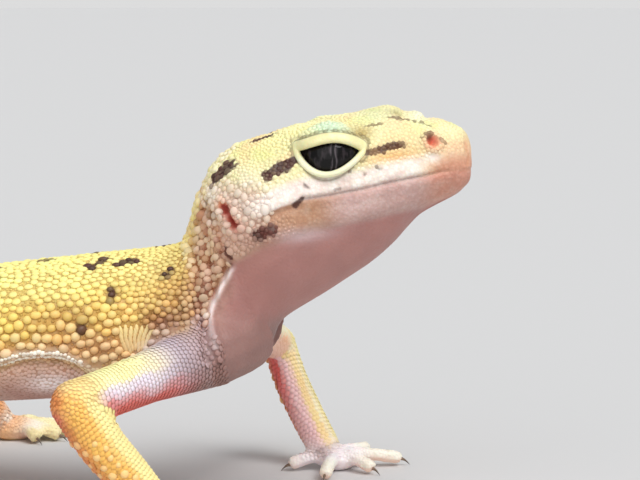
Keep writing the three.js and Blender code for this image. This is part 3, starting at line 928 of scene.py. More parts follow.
def painted_jaw(c, points):
    """The chin, the throat, the mouth's line and the corner of the jaw."""
    x, z = points[:, 0], points[:, 2]
    side_view = in_side_view(points)
    lip, jaw = above_mouth(points), above_jaw_edge(points)
    front = smooth(x, 10, 13.5)
    chin = glaze(coat_of((0.82, 0.68, 0.65), len(x)), SALMON, 0.8 * front)
    chin = glaze(chin, (0.90, 0.78, 0.76), 0.5 * patch(x, lip, (3, -1.6), (4, 1)))
    chin = glaze(chin, (0.75, 0.57, 0.44), 0.95 * smooth(-x, -3.4, 1))
    c = mix(c, chin, smooth(-lip, 0, 0.25))
    c = glaze(c, DUSKY, 1 - smooth(jaw, -0.5, 0.6))
    # A pale lilac patch along the jaw: partly the lilac colour of its granules, partly painted highlight.
    along_jaw = np.hypot((x + 2.2) / 3.4, (z - 32.45 - 0.06 * (x + 2.2)) / 0.85)
    c = glaze(c, (0.86, 0.74, 0.74), 0.9 * bell(along_jaw, 1))
    in_mouth = bell(np.abs(lip), 0.2) * smooth(x, -2.4, -1)
    c = glaze(c, (0.60, 0.42, 0.40), 0.55 * in_mouth * (1 - 0.7 * front))
    c = glaze(c, (0.84, 0.60, 0.46), 0.6 * bell(to_line(side_view, SNOUT_PLATE)[0], 0.22))
    rear = smooth(-x, 5.2, 7.2) * (1 - smooth(z, 36.6, 38.6)) * smooth(jaw, -0.8, 0.8)
    c = glaze(c, (0.89, 0.76, 0.68), 0.85 * rear)
    c = glaze(c, (0.74, 0.55, 0.49), 0.7 * patch(x, z, (-7.2, 32.2), (3, 1.8)))
    pale_line, _ = to_line(side_view, MOUTH[:4] + (-0.6, 0.9))
    return glaze(c, (1, 0.95, 0.92), 0.75 * bell(pale_line, 0.8) * (x < 1))


def painted_head(points):
    x, y, z = points.T
    c = painted_jaw(painted_snout(coat_of(CREAM, len(x)), points), points)
    hole = np.hypot(x - NOSTRIL[0], z - NOSTRIL[2])
    c = glaze(c, (0.99, 0.55, 0.48), 0.95 * bell(hole, 0.82) * (x > 9))
    hole = np.hypot(x - NOSTRIL[0] + 0.35, z - NOSTRIL[2] - 0.25)
    c = glaze(c, (0.55, 0.20, 0.14), 0.95 * bell(hole, 0.36))
    # A white spot beside each nostril: a painted highlight.
    c = glaze(c, (1, 0.98, 0.96), 0.8 * patch(x, z, (12.3, 40.5), (0.8, 0.45)) * (np.abs(y) > 3))
    rim = in_opening(points)
    eye_side = smooth(np.abs(y), 5.2, 6.2)
    c = glaze(c, MINT, 0.9 * eye_side * patch(x, z, (1, 43.9), (2.6, 0.9)))
    before_eye = smooth(np.abs(y), 3.6, 4.6) * patch(x, z, (4.5, 43.2), (1.3, 0.75))
    c = glaze(c, (0.74, 0.64, 0.38), 0.9 * before_eye)
    # Dark brown inside the eye's opening, round the ball: painted shade in the recess.
    c = glaze(c, (0.16, 0.13, 0.08), eye_side * smooth(0.5 - rim, 0, 0.2))
    # A dark band in the crease round the lids: painted shade.
    crease = bell(rim - 0.95 - 0.35 * smooth(z, 41.4, 42.6), 0.16)
    return glaze(c, (0.42, 0.38, 0.24), 0.7 * eye_side * crease)


print("crown", painted_head(np.array([(0.0, 0.0, 43.0)])).round(2))

# %% [markdown]
# The trunk is lemon on the back and golden lower down, with tan and brown over the shoulder. Under the fold
# of the flank it turns to the pinkish grey of the belly. The tail is cream with lilac bands.

# %% Paint the trunk and the tail


def under_shoulder(points):
    """The brown patch over the arm's root, from 0 to 1."""
    x, z = points[:, 0], points[:, 2]
    return bell(z - 22.9, 1.1) * smooth(x, -20.2, -18.2) * smooth(-x, 14, 15.5)


def painted_trunk(points):
    x, z = points[:, 0], points[:, 2]
    rise = rise_at(points)
    along = length_at(points)
    patchy = ripple(points, 5.0, 21)
    c = coat_of(LEMON, len(x))
    c = glaze(c, GOLD, smooth(0.88 - rise + 0.05 * patchy, 0, 0.24))
    c = glaze(c, BEIGE, 0.9 * smooth(0.56 - rise + 0.06 * patchy, 0, 0.2) * smooth(-x, 12, 20))
    c = glaze(c, (0.90, 0.77, 0.52), 0.45 * patch(x, z, (-18.5, 24.8), (5, 4.2)))
    c = glaze(c, TAN, 0.9 * patch(x, z, (-14.2, 24.6), (3.6, 3.8)))
    c = glaze(c, (0.76, 0.57, 0.38), 0.5 * patch(x, z, (-27.5, 22.8), (4.6, 2)))
    c = glaze(c, (0.62, 0.38, 0.15), 0.95 * under_shoulder(points))
    c = glaze(c, (0.68, 0.49, 0.36), 0.6 * patch(x, z, (-14.3, 25), (1.8, 2.2)))
    low_side = bell(rise - 0.44, 0.1)
    c = glaze(c, (0.86, 0.66, 0.44), 0.75 * low_side * smooth(-x, 14, 20) * smooth(x, -70, -50))
    c = glaze(c, (0.88, 0.74, 0.45), 0.6 * bell(x + 13.5, 2.2) * smooth(-z, -36, -30))
    fold = level_on(FLANK_FOLD, x)
    on_fold = bell(z - fold - 0.1, 0.5) * smooth(-x, 23.5, 26) * smooth(x, -70, -60)
    c = glaze(c, (0.99, 0.94, 0.86), 0.9 * on_fold)
    under = glaze(coat_of((0.82, 0.67, 0.58), len(x)), (0.75, 0.58, 0.53), 1 - smooth(rise, 0.1, 0.4))
    under = glaze(under, GREY_PINK, smooth(-x, 36, 46))
    under = glaze(under, (1, 0.95, 0.94), patch(x, z, (-29.2, 16), (2.6, 1.1)))
    under = glaze(under, (0.96, 0.88, 0.82), 0.2 * smooth(ripple(points, 2.6, 67), 0.1, 0.8))
    c = mix(c, under, smooth(fold - 0.5 - z, 0, 0.9))
    c = glaze(c, MAUVE, smooth(x, -14, -10) * (1 - smooth(z, 20, 26)))
    bands = smooth(np.sin((along - VENT) / 5.2), 0.1, 0.7)
    light = glaze(coat_of((0.99, 0.93, 0.70), len(x)), LILAC, 0.5 * bands)
    light = glaze(light, GREY_PINK, 1 - smooth(rise, 0.05, 0.35))
    return mix(c, light, smooth(along - VENT, -4, 10))


print("back", painted_trunk(np.array([(-50.0, 5.0, 26.0)])).round(2))

# %% [markdown]
# The neck is mottled brown and pink at the sides, with pale wrinkles whose creases carry painted shade, and
# dusky pink under the throat.
# Round the red slit of the ear lie small orange, brown and olive marks, kept in a list with their sizes.

# %% Paint the neck and the ears
EAR_MARKS = [((-11.7, 36.35), 0.8, (1.0, 0.96, 0.90), 0.9), ((-10.75, 35.6), 0.6, (0.97, 0.66, 0.45), 0.8),
             ((-11.8, 34.3), 0.5, (0.52, 0.32, 0.14), 0.85), ((-8.0, 35.2), 0.32, (0.42, 0.27, 0.22), 0.8),
             ((-9.0, 36.6), 0.28, (0.40, 0.33, 0.25), 0.8), ((-12.4, 35.6), 0.35, (0.55, 0.42, 0.22), 0.7),
             ((-12.2, 32.2), 0.5, (0.66, 0.36, 0.22), 0.6)]


def painted_neck(points):
    x, y, z = points.T
    mottle = ripple(points, 1.3, 31)
    high = smooth(z, 34.6, 36.6)
    ahead = ahead_of_fold(points)
    pinkish = smooth(ripple(points, 1.8, 33), -0.2, 0.6)
    brownish = smooth(mottle, -0.5, 0.4) * smooth(-x, 9.8, 12.4)
    c = coat_of((0.87, 0.73, 0.61), len(x))
    c = glaze(c, (0.84, 0.66, 0.60), 0.8 * pinkish * (1 - smooth(z, 32, 36)))
    c = glaze(c, (0.70, 0.48, 0.28), 0.85 * brownish * (1 - 0.7 * high))
    c = glaze(c, (1, 0.94, 0.84), 0.85 * high)
    c = glaze(c, (0.97, 0.91, 0.62), 0.8 * (1 - smooth(np.abs(y) + 0.6 * mottle, 2.4, 4.4)))
    # Orange-brown in the creases of the neck's wrinkles: painted shade.
    c = glaze(c, (0.74, 0.45, 0.28), 0.55 * smooth(-neck_wrinkles(points), 0, 0.9) * smooth(-x, 9.2, 11))
    c = glaze(c, (0.70, 0.53, 0.49), 0.7 * smooth(x, -10.8, -8.8) * (1 - smooth(z, 30.5, 33)))
    c = glaze(c, DUSKY, 1 - smooth(z - 0.35 * (x + 12), 21.5, 24.5))
    c = glaze(c, DUSKY, smooth(ahead, 0.2, 1) * (1 - smooth(z, 28, 30.5)))
    c = glaze(c, (0.74, 0.58, 0.52), 0.6 * bell(ahead - 1.1, 0.8) * (z > 20.4) * smooth(-z, -28.5, -25.5))
    behind_fold = bell(z - 25.4, 2.4) * (1 - smooth(ahead, -1, -0.4))
    c = glaze(c, (0.62, 0.40, 0.30), 0.85 * behind_fold * smooth(np.abs(y), 5, 7.5))
    c = glaze(c, MAUVE, smooth(-z, -25, -20.5) * smooth(x, -13.5, -10.5))
    c = glaze(c, (0.76, 0.68, 0.69), 0.85 * smooth(-z, -24.5, -22.5) * (1 - smooth(ahead, -0.6, 0)))
    lit_edge = bell(ahead - 0.15, 0.38) * (z > 20.4)
    return glaze(c, (0.98, 0.92, 0.92), 0.92 * lit_edge * (1 - smooth(z, 28.5, 30)))


def painted_ear(c, points):
    """The red slit of the ear, with painted shade deep in it, and the marks round it."""
    beside = smooth(np.abs(points[:, 1]), 3.5, 5)
    for middle, size, colour, amount in EAR_MARKS:
        gap = lengths(in_side_view(points) - middle)
        c = glaze(c, colour, amount * beside * bell(gap, size))
    ear = from_ear(points)
    c = glaze(c, RED, 0.95 * bell(ear, 0.5) * beside)
    # Darker red deep in the slit: painted shade.
    return glaze(c, (0.56, 0.18, 0.15), 0.5 * bell(ear, 0.16) * beside)


print(len(EAR_MARKS), "marks round each ear")

# %% [markdown]
# A leg changes colour along its bones and round them. The fore legs are mauve where they leave the body,
# then lilac, yellow on top and rose below, and amber from the elbow down. The hind legs are golden.

# %% Paint the legs


def painted_shin(points, normals, share, up, outer):
    """The forearm or shank: amber, rust behind, and pale and pink on its inner side."""
    x = normals[:, 0]
    shin = coat_of(AMBER, len(points))
    shin = glaze(shin, (0.98, 0.91, 0.62), smooth(x + 0.35 * up, 0.3, 0.85))
    shin = glaze(shin, RUST, 0.9 * smooth(-x, 0.05, 0.8))
    back = -x - 0.35 * smooth(share, 1, 1.7)
    inside = coat_of((1.0, 0.87, 0.62), len(points))
    inside = glaze(inside, (1, 0.93, 0.80), smooth(-back, 0.65, 0.9))
    inside = glaze(inside, (1, 0.83, 0.83), smooth(back, -0.55, -0.1))
    inside = glaze(inside, (0.91, 0.44, 0.42), smooth(back, 0.05, 0.5) * (1 - 0.9 * smooth(share, 1.2, 1.75)))
    return mix(shin, inside, smooth(-outer, 0.1, 0.6))


def painted_hind(points, normals, share, up):
    """A hind leg's warmer colours."""
    warm = glaze(coat_of(GOLD, len(points)), (0.96, 0.80, 0.64), smooth(-up, -0.2, 0.5))
    shank = coat_of((0.97, 0.68, 0.42), len(points))
    shank = glaze(shank, (0.84, 0.55, 0.38), smooth(-normals[:, 0], -0.4, 0.5))
    shank = glaze(shank, AMBER, 1 - smooth(share, 0.95, 1.45))
    c = mix(warm, shank, smooth(share, 0.7, 1.1))
    return glaze(c, (0.98, 0.76, 0.54), smooth(4 - points[:, 2], 0, 2.5) * smooth(share, 1.3, 1.7))


def painted_leg(points, normals, joints, fore, near):
    """One leg. Near is the right fore leg, which is drawn back; the left one is paler round the elbow."""
    x, z = points[:, 0], points[:, 2]
    share = to_line(points, np.array(joints))[1] / to_bend(joints)
    up = normals[:, 2] + 0.15 * ripple(points, 2.5, 41)
    if not fore:
        return painted_hind(points, normals, share, up)
    c = coat_of(LILAC, len(x))
    c = glaze(c, (0.74, 0.68, 0.72), 0.95 * (1 - smooth(share, 0.25, 0.65)))
    shaded = 1 if near else 1 - 0.5 * smooth(up, 0.1, 0.6)
    c = glaze(c, MAUVE, (1 - smooth(share + 0.1 * up, 0.08, 0.46)) * shaded)
    below = smooth(-up + 0.25 * smooth(share, 0.55, 0.9), -0.15, 0.65)
    c = glaze(c, ROSE, below * smooth(share, 0.15, 0.5))
    c = glaze(c, (1, 0.97, 0.70), smooth(up, 0.22, 0.7) * smooth(share, 0.32, 0.64))
    c = glaze(c, AMBER, 0.9 * smooth(share, 0.84, 1) * smooth(up, -0.5, 0))
    outer = normals[:, 1] * np.sign(joints[1][1])
    lower = smooth(share - 0.08 * smooth(-up, -0.1, 0.5), 0.86, 1.05) if near else smooth(share, 0.76, 0.95)
    c = mix(c, painted_shin(points, normals, share, up, outer), lower)
    c = glaze(c, (1, 0.96, 0.70), 0.6 * bell(share - 1, 0.16) * smooth(up, 0.3, 0.9))
    if not near:
        elbow = smooth(share, 0.35, 0.6) * (1 - smooth(share, 0.82, 0.98))
        c = glaze(c, (1, 0.84, 0.76), 0.9 * elbow)
        c = glaze(c, (0.97, 0.72, 0.50), 0.7 * elbow * patch(z, x, (16.3, -4.2), (1.6, 0.9)))
        c = glaze(c, (1, 0.97, 0.82), elbow * smooth(up, -0.1, 0.4))
    return glaze(c, (1, 0.94, 0.93), smooth(4.4 - z, 0, 2.6) * smooth(share, 1.3, 1.7))


print("legs painted by", len(JOINTS), "pairs of bones")

# %% [markdown]
# The hands are ivory and pink, and the feet yellower, with orange ankles. The parts are then joined: each
# one's share of a point is a number that has been averaged over the skin, so no edge shows between them.

# %% Paint the paws and join everything
LEG_BONES = {"fore": ("upper_arm", "forearm", "hand"), "hind": ("thigh", "shank", "foot")}
LEG_PARTS = {f"{side}_{end}": tuple(f"{bone}_{side}" for bone in bones)
             for end, bones in LEG_BONES.items() for side in ("left", "right")}
leg_blend = {
    name: averaged(skin_of(*parts[:2]) * 1.0, skin.data, 60) for name, parts in LEG_PARTS.items()
}
paw_blend = averaged(skin_of("claw", *PAWS) * 1.0, skin.data, 6)


def painted_paws(points, normals, part):
    on_foot = belongs(part, "foot")
    c = glaze(coat_of(IVORY, len(points)), (1, 0.86, 0.78), smooth(0.3 - normals[:, 2], 0, 0.9))
    c = glaze(c, (1, 0.93, 0.68), 0.85 * on_foot * smooth(ripple(points, 3, 71), -0.8, 0.3))
    for side in ("left", "right"):
        ankle = lengths(points - JOINTS[side + "_hind"][2])
        c = glaze(c, (0.98, 0.74, 0.52), 0.9 * (1 - smooth(ankle, 2, 5.5)) * on_foot)
        wrist = lengths(points - JOINTS[side + "_fore"][2])
        c = glaze(c, (1, 0.95, 0.96), 0.9 * (1 - smooth(wrist, 3, 6.5)))
    return c


def painted(points, normals, root):
    """The colour of each point on the body, and how dark a spot or a painted shadow line makes it: places are
    in mm, and root is the number of the nearest point of the skin."""
    x, z = points[:, 0], points[:, 2]
    c = painted_trunk(points)
    c = mix(c, painted_neck(points), smooth(x, -15.2, -13.2) * smooth(z + 0.6 * x, 6, 9))
    head = smooth(x + 0.32 * (z - 30), -10.6, -9.2) * smooth(z + 0.2 * x, 20, 24)
    c = painted_ear(mix(c, painted_head(points), head), points)
    for name, joints in JOINTS.items():
        blend = leg_blend[name][root]
        here = np.flatnonzero(blend > 0.01)
        if len(here):
            shoulder = lengths(points[here] - joints[0])
            own = smooth(shoulder, 2, 6.5) if "fore" in name else smooth(shoulder, 4, 9)
            leg = painted_leg(points[here], normals[here], joints, "fore" in name, name == "right_fore")
            c[here] = mix(c[here], leg, smooth(blend[here], 0.15, 0.85) * own)
    paw = paw_blend[root]
    c = mix(c, painted_paws(points, normals, skin_part[root]), paw)
    c = np.clip(c * (1.0 + 0.05 * ripple(points, 2.2, 8))[:, None], 0.0, 1.0)
    return c, spots_and_shadow_lines(points) * (1 - paw)


skin_normals = read_normals(skin.data)
skin_colour, skin_dark = painted(skin_points, skin_normals, np.arange(len(skin_points)))
skin_colour = with_spots_and_shadow_lines(skin_colour, skin_dark, skin_points)
print("painted", len(skin_colour), "points of skin")

# %% [markdown]
# Shader sums read best as plain expressions, so a small class wraps a socket and gives it +, -, * and /.
# Another builds a finish: one method makes any node, and the others name what is made often.

# %% A small language for finishes


def sum_of(operation, swapped=False):
    def made(self, other):
        first, second = (other, self) if swapped else (self, other)
        return self.finish.node("ShaderNodeMath", "Value", {0: first, 1: second}, operation=operation)

    return made


class Value:
    """A number that comes out of a shader node."""

    def __init__(self, finish, socket):
        self.finish = finish
        self.socket = socket

    __add__ = __radd__ = sum_of("ADD")
    __mul__ = __rmul__ = sum_of("MULTIPLY")
    __sub__, __rsub__ = sum_of("SUBTRACT"), sum_of("SUBTRACT", swapped=True)
    __truediv__ = sum_of("DIVIDE")


class Finish:
    """A material under construction."""

    def __init__(self, name):
        self.material = bpy.data.materials.new(name)
        self.material.use_nodes = True
        self.tree = self.material.node_tree
        self.shader = self.tree.nodes["Principled BSDF"]

    def node(self, kind, output, inputs=(), **settings):
        made = self.tree.nodes.new(kind)
        for key, value in settings.items():
            setattr(made, key, value)
        for key, value in dict(inputs).items():
            if isinstance(value, Value):
                self.tree.links.new(value.socket, made.inputs[key])
            else:
                made.inputs[key].default_value = value
        return Value(self, made.outputs[output])

    def mix(self, factor, first, second):
        return self.node("ShaderNodeMix", 2, {0: factor, 6: first, 7: second}, data_type="RGBA")

    def tinted(self, first, second):
        """One colour seen through another."""
        inputs = {0: 1.0, 6: first, 7: second}
        return self.node("ShaderNodeMix", 2, inputs, data_type="RGBA", blend_type="MULTIPLY")

    def place(self):
        return self.node("ShaderNodeTexCoord", "Object")

    def cells(self, size):
        """A pattern of round cells that many metres apart, 0 in the middle of each."""
        return self.node("ShaderNodeTexVoronoi", "Distance", {"Vector": self.place(), "Scale": 1 / size})

    def clouds(self, size, detail=2.0, place=None):
        inputs = {"Vector": self.place() if place is None else place, "Scale": 1 / size, "Detail": detail}
        return self.node("ShaderNodeTexNoise", "Fac", inputs)

    def attribute(self, name, output="Fac"):
        return self.node("ShaderNodeAttribute", output, attribute_name=name)

    def between(self, value, low, high):
        inputs = {"Value": value, "From Min": low, "From Max": high}
        return self.node("ShaderNodeMapRange", "Result", inputs, interpolation_type="SMOOTHSTEP")

    def use(self, socket, value):
        if isinstance(value, Value):
            self.tree.links.new(value.socket, self.shader.inputs[socket])
        else:
            self.shader.inputs[socket].default_value = value

    def glow(self, weight, reach, tint):
        """How much light goes through the flesh, how far in metres, and in which colour."""
        self.use("Subsurface Weight", weight)
        self.use("Subsurface Scale", reach)
        self.use("Subsurface Radius", tint)

    def roughen(self, height, depth, strength):
        inputs = {"Height": height, "Distance": depth, "Strength": strength}
        self.use("Normal", self.node("ShaderNodeBump", "Normal", inputs))


print("finishes can be written as sums")

# %% [markdown]
# Bare skin between the scales is covered in granules too fine to model, a third of a millimetre across. Two
# cell patterns give them: a fine one all over, and a coarser one where the skin carries small plates. Flesh
# lets some light through, which is what makes toes and lips look alive.

# %% The finish of the skin
CREASE_SHADE_TINT = (0.74, 0.55, 0.40)


def store_colour(mesh, name, colours):
    layer = mesh.color_attributes.new(name, "FLOAT_COLOR", "POINT")
    flat = np.ones((len(colours), 4), np.float32)
    flat[:, :3] = colours
    layer.data.foreach_set("color", flat.ravel())


def store_number(mesh, name, values):
    layer = mesh.attributes.new(name, "FLOAT", "POINT")
    layer.data.foreach_set("value", np.asarray(values, np.float32))


in_front = smooth(ahead_of_fold(skin_points), -0.8, 0.4) * smooth(skin_points[:, 0], -15.5, -13.5)
fine_part = smooth(-above_jaw_edge(skin_points), -0.6, 0.6) * in_front
fine_part = averaged(np.maximum(fine_part, skin_of(*PAWS) * 0.5), skin.data, 8)
scaly = averaged(skin_of("neck", "tail", *TRUNK, *LIMBS) * (1.0 - in_front), skin.data, 8)
on_legs = averaged(skin_of(*LIMBS) * 1.0, skin.data, 8)
# The skin between the scales is darkened, with a warmer tint, as painted shade in the crevices.
crease_shading = (0.65 - 0.3 * on_legs) * scaly * smooth(rise_at(skin_points), -0.2, 0.3)
store_colour(skin.data, "hue", mix(skin_colour, skin_colour * CREASE_SHADE_TINT, crease_shading))
store_number(skin.data, "smoothness", fine_part)

flesh = Finish("skin")
hue = flesh.attribute("hue", "Color")
calm = flesh.attribute("smoothness")
mottle = flesh.clouds(1.6 * MM, 3.0)
grain = flesh.cells(0.34 * MM) * 0.6 + flesh.cells(0.55 * MM) * (1 - calm) * 0.6
shade = flesh.between(grain, 0.25, 0.85) * (0.3 - calm * 0.18)
tone = flesh.mix(shade, hue, flesh.tinted(hue, (0.62, 0.42, 0.33, 1.0)))
paler = flesh.between(mottle, 0.45, 0.75) * (0.12 - calm * 0.1)
flesh.use("Base Color", flesh.mix(paler, tone, (0.93, 0.86, 0.76, 1.0)))
flesh.use("Roughness", 0.46 + 0.16 * mottle)
flesh.use("Specular IOR Level", 0.4)
flesh.glow(0.16, 0.9 * MM, (1.0, 0.4, 0.25))
flesh.roughen(1 - grain, 0.10 * MM, 0.75)
skin.data.materials.clear()
skin.data.materials.append(flesh.material)
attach(skin, "root")
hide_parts(*FLESH)
print("skin finished, with", int((crease_shading > 0.3).sum()), "points in creases")

# %% [markdown]
# The scales are small domes, tens of thousands of them, so each kind becomes one joined mesh. Their places
# come from throwing points on the skin at random, dropping those too near a neighbour, and letting the rest
# push each other apart until they sit as evenly as the real ones do.

# %% Scatter places for scales over the skin
skin.data.calc_loop_triangles()
corner_flat = np.empty(len(skin.data.loop_triangles) * 3, np.int32)
skin.data.loop_triangles.foreach_get("vertices", corner_flat)
corners = corner_flat.reshape(-1, 3)
tri_a, tri_b, tri_c = (skin_points[corners[:, k]] for k in range(3))
tri_area = lengths(np.cross(tri_b - tri_a, tri_c - tri_a)) / 2
print("skin area", round(float(tri_area.sum())), "square mm")


def tree_of(places):
    tree = KDTree(len(places))
    for number, place in enumerate(places):
        tree.insert(place, number)
    tree.balance()
    return tree


def thrown_on_skin(room, rng):
    """Random places on the skin, the more of them the less room each needs, and the room of each."""
    weight = np.where(room > 0, tri_area / np.maximum(room, 0.1) ** 2, 0.0)
    wanted = int(weight.sum() * 8)
    chosen = rng.choice(len(corners), wanted, p=weight / weight.sum())
    u, v = rng.random((2, wanted))
    flip = u + v > 1
    u[flip], v[flip] = 1 - u[flip], 1 - v[flip]
    places = tri_a[chosen] + u[:, None] * (tri_b - tri_a)[chosen] + v[:, None] * (tri_c - tri_a)[chosen]
    return places, room[chosen]


def thinned(places, gaps):
    """The numbers of the places that are left when each one drops all others within its gap."""
    tree = tree_of(places)
    alive = np.ones(len(places), bool)
    kept = []
    for i in range(len(places)):
        if alive[i]:
            kept.append(i)
            for _, j, _ in tree.find_range(places[i], gaps[i]):
                alive[j] = False
    return kept


def spread(spacing, seed, rounds, uneven=0.0, *taken):
    """Places on the skin that far apart, and the gap of each: spacing gives mm for each point of the skin, or
    0 for no scales. Each of taken is a list of places to keep clear of, and how much room they need."""
    rng = np.random.default_rng(seed)
    thrown, room = thrown_on_skin(spacing[corners].min(1), rng)
    gaps = room * rng.uniform(1 - uneven, 1 + uneven, len(room))
    kept = thinned(thrown, gaps * 0.8)
    places, gaps = thrown[kept], gaps[kept]
    for _ in range(rounds):
        tree = tree_of(places)
        moved = places.copy()
        for i, p in enumerate(places):
            push = np.zeros(3)
            for q, j, d in tree.find_n(p, 7):
                reach = (gaps[i] + gaps[j]) * 0.54
                if j != i and 0 < d < reach:
                    push += (p - np.array(q)) * (reach - d) / d
            moved[i] += 0.4 * push
        places = to_mm([skin_tree.find_nearest(Vector(p))[0] for p in to_metres(moved)])
    for others, reach in taken:
        places, gaps = only(clear_of(places, others, reach), places, gaps)
    return places, gaps


def clear_of(places, others, room):
    """Which places are farther than room (one value, or one for each of the others) from all the others."""
    tree = tree_of(others)
    room = np.broadcast_to(room, len(others))
    clear = np.ones(len(places), bool)
    for i, p in enumerate(places):
        clear[i] = all(d > room[j] for _, j, d in tree.find_n(p, 3))
    return clear


def only(chosen, *lists):
    """The chosen rows of each list, in that order."""
    return [rows[chosen] for rows in lists]


# %% [markdown]
# Each scale also needs a small patch on a flat map of the whole skin for its baked colours. The map unrolls
# the trunk along its length and round its girth, and lays each leg beside it.

# %% A flat map of the skin
LEG_REACH = 36.0
point_tree = tree_of(skin_points)
steps = lengths(np.diff(MIDLINE, axis=0))
MIDLINE_RUN = np.concatenate(([0], np.cumsum(steps)))
MIDLINE_LENGTH = float(steps.sum())


def rooted(places):
    """The number of the nearest point of the skin to each place."""
    return np.array([point_tree.find(p)[1] for p in places])


def turned(across, ahead):
    return np.arctan2(across, ahead) / (2 * math.pi) + 0.5


def unrolled(places, part):
    """A place for each scale on a flat map of the skin, each side from 0 to 1."""
    along = length_at(places) / MIDLINE_LENGTH
    lateral = places[:, 1] - np.interp(along * MIDLINE_LENGTH, MIDLINE_RUN, MIDLINE[:, 1])
    turn = turned(lateral, (rise_at(places) - 0.5) * 20.0)
    flat = np.stack((0.01 + 0.98 * along, 0.01 + 0.58 * turn), 1)
    for row, (name, joints) in enumerate(JOINTS.items()):
        here = np.flatnonzero(belongs(part, *LEG_PARTS[name]))
        if len(here):
            _, run = to_line(places[here], np.array(joints))
            x, y = (np.interp(run, (0, to_bend(joints), LEG_REACH), np.array(joints)[:, k]) for k in range(2))
            turn = turned(places[here, 1] - y, places[here, 0] - x)
            shares = np.clip(run / LEG_REACH, 0, 1)
            flat[here] = np.stack((0.02 + 0.96 * shares, 0.62 + 0.09 * row + 0.08 * turn), 1)
    return flat


print("the midline is", round(MIDLINE_LENGTH, 1), "mm long")

# %% [markdown]
# A scale's shape is half of a ball, with few faces because there are so many of them. The points and faces
# of all the copies go into the mesh in one go, because joining thousands of objects would take too long.

# %% Domes, and many of them in one mesh


def dome(rings, segments):
    """Half a ball, open below, its rim a little below the skin: its points and its triangles."""
    bm = bmesh.new()
    bmesh.ops.create_uvsphere(bm, u_segments=segments, v_segments=rings * 2, radius=1.0)
    gone = [v for v in bm.verts if v.co.z < -0.4]
    bmesh.ops.delete(bm, geom=gone, context="VERTS")
    bmesh.ops.triangulate(bm, faces=bm.faces)
    bm.verts.ensure_lookup_table()
    shape = np.array([v.co for v in bm.verts])
    faces = np.array([[v.index for v in f.verts] for f in bm.faces])
    bm.free()
    return shape, faces


def joined_mesh(name, solid, faces):
    """One mesh of many copies: solid holds the points of each copy in mm, and all copies share the faces."""
    count, per = solid.shape[:2]
    all_faces = (faces[None] + (np.arange(count) * per)[:, None, None]).reshape(-1, 3)
    mesh = bpy.data.meshes.new(name)
    mesh.vertices.add(count * per)
    mesh.vertices.foreach_set("co", to_metres(solid.reshape(-1, 3)).astype(np.float32).ravel())
    mesh.loops.add(len(all_faces) * 3)
    mesh.loops.foreach_set("vertex_index", all_faces.astype(np.int32).ravel())
    mesh.polygons.add(len(all_faces))
    mesh.polygons.foreach_set("loop_start", np.arange(0, len(all_faces) * 3, 3, dtype=np.int32))
    mesh.update()
    smooth_faces(mesh)
    return mesh, all_faces.ravel()


big_dome, small_dome, low_dome = dome(3, 8), dome(2, 7), dome(2, 6)
print("a bead has", len(big_dome[1]), "triangles, a tile", len(low_dome[1]))

# %% [markdown]
# A scale grows out of the nearest point of the skin, from which it takes its direction and its colour. Its
# top leans towards the tail or the toes. No two are quite alike, so each is stretched a little at random.

# %% Lay scales on the skin
PAD = 0.0014  # how far a scale reaches on the flat map


def laid(template, places, sizes, heights, normal, ways, wobble, lean, stretch, lift):
    """The points of every scale in mm, each scale a copy of the template."""
    across = np.cross(normal, ways)
    size = np.stack((sizes * stretch * wobble[:, 0], sizes * wobble[:, 1], heights * wobble[:, 2]), 1)
    local = template[None] * size[:, None]
    local[:, :, 0] += np.maximum(local[:, :, 2], 0) * lean
    local[:, :, 2] += local[:, :, 0] * lift - 0.1 * heights[:, None]
    solid = (places[:, None] + local[:, :, :1] * ways[:, None] + local[:, :, 1:2] * across[:, None]
             + local[:, :, 2:] * normal[:, None])
    solid[:, :, 2] = np.maximum(solid[:, :, 2], 0.0)
    return solid


def lay_scales(name, places, sizes, heights, shape, lean=0.3, stretch=1.0, tint=None, ways=None, lift=0.0,
               crease=1.0, uneven=0.1):
    """One joined mesh of scales, with sizes and heights in mm. Each scale leans, stretches and lifts its rear
    edge along ways, and crease says how dark the painted shade at its foot is."""
    template, faces = shape
    root = rooted(places)
    normal = skin_normals[root]
    part = skin_part[root]
    if ways is None:
        ways = np.tile((-1.0, 0.0, -0.1), (len(places), 1))
        ways[belongs(part, *LIMBS)] = (0.15, 0.0, -1.0)
    ways = ways - (ways * normal).sum(1)[:, None] * normal
    ways /= lengths(ways)[:, None] + 1e-9
    count, per = len(places), len(template)
    rng = np.random.default_rng(count)
    wobble = rng.uniform(1 - uneven, 1 + uneven, (count, 3))
    solid = laid(template, places, sizes, heights, normal, ways, wobble, lean, stretch, lift)
    mesh, corner_points = joined_mesh(name, solid, faces)
    colour, dark = painted(places, normal, root)
    if tint is not None:
        colour = tint(colour, places)
    colour = with_spots_and_shadow_lines(colour, dark * rng.uniform(0.9, 1.0, count), places)
    store_colour(mesh, "hue", np.repeat(colour, per, 0))
    # How far each point of a scale lies in the painted shade of its foot.
    foot_shade_share = (1 - np.clip(template[:, 2], 0, 1))[None] * np.broadcast_to(crease, count)[:, None]
    store_number(mesh, "tip", 1 - foot_shade_share.ravel())
    uv = (unrolled(places, part)[:, None] + template[None, :, :2] * PAD).reshape(-1, 2)[corner_points]
    mesh.uv_layers.new(name="OFBake").data.foreach_set("uv", uv.astype(np.float32).ravel())
    mesh.materials.append(bead.material)
    piece = show(name, mesh)
    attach(piece, "root")
    print(name, count, "scales", len(mesh.polygons), "triangles")


def lay_halves(names, places, lay):
    """Two meshes instead of one, since a piece is best kept under 200,000 triangles."""
    half = len(places) // 2
    for name, chosen in zip(names, (slice(0, half), slice(half, None))):
        lay(name, chosen)


print("each scale may cover", PAD, "of the map each way")
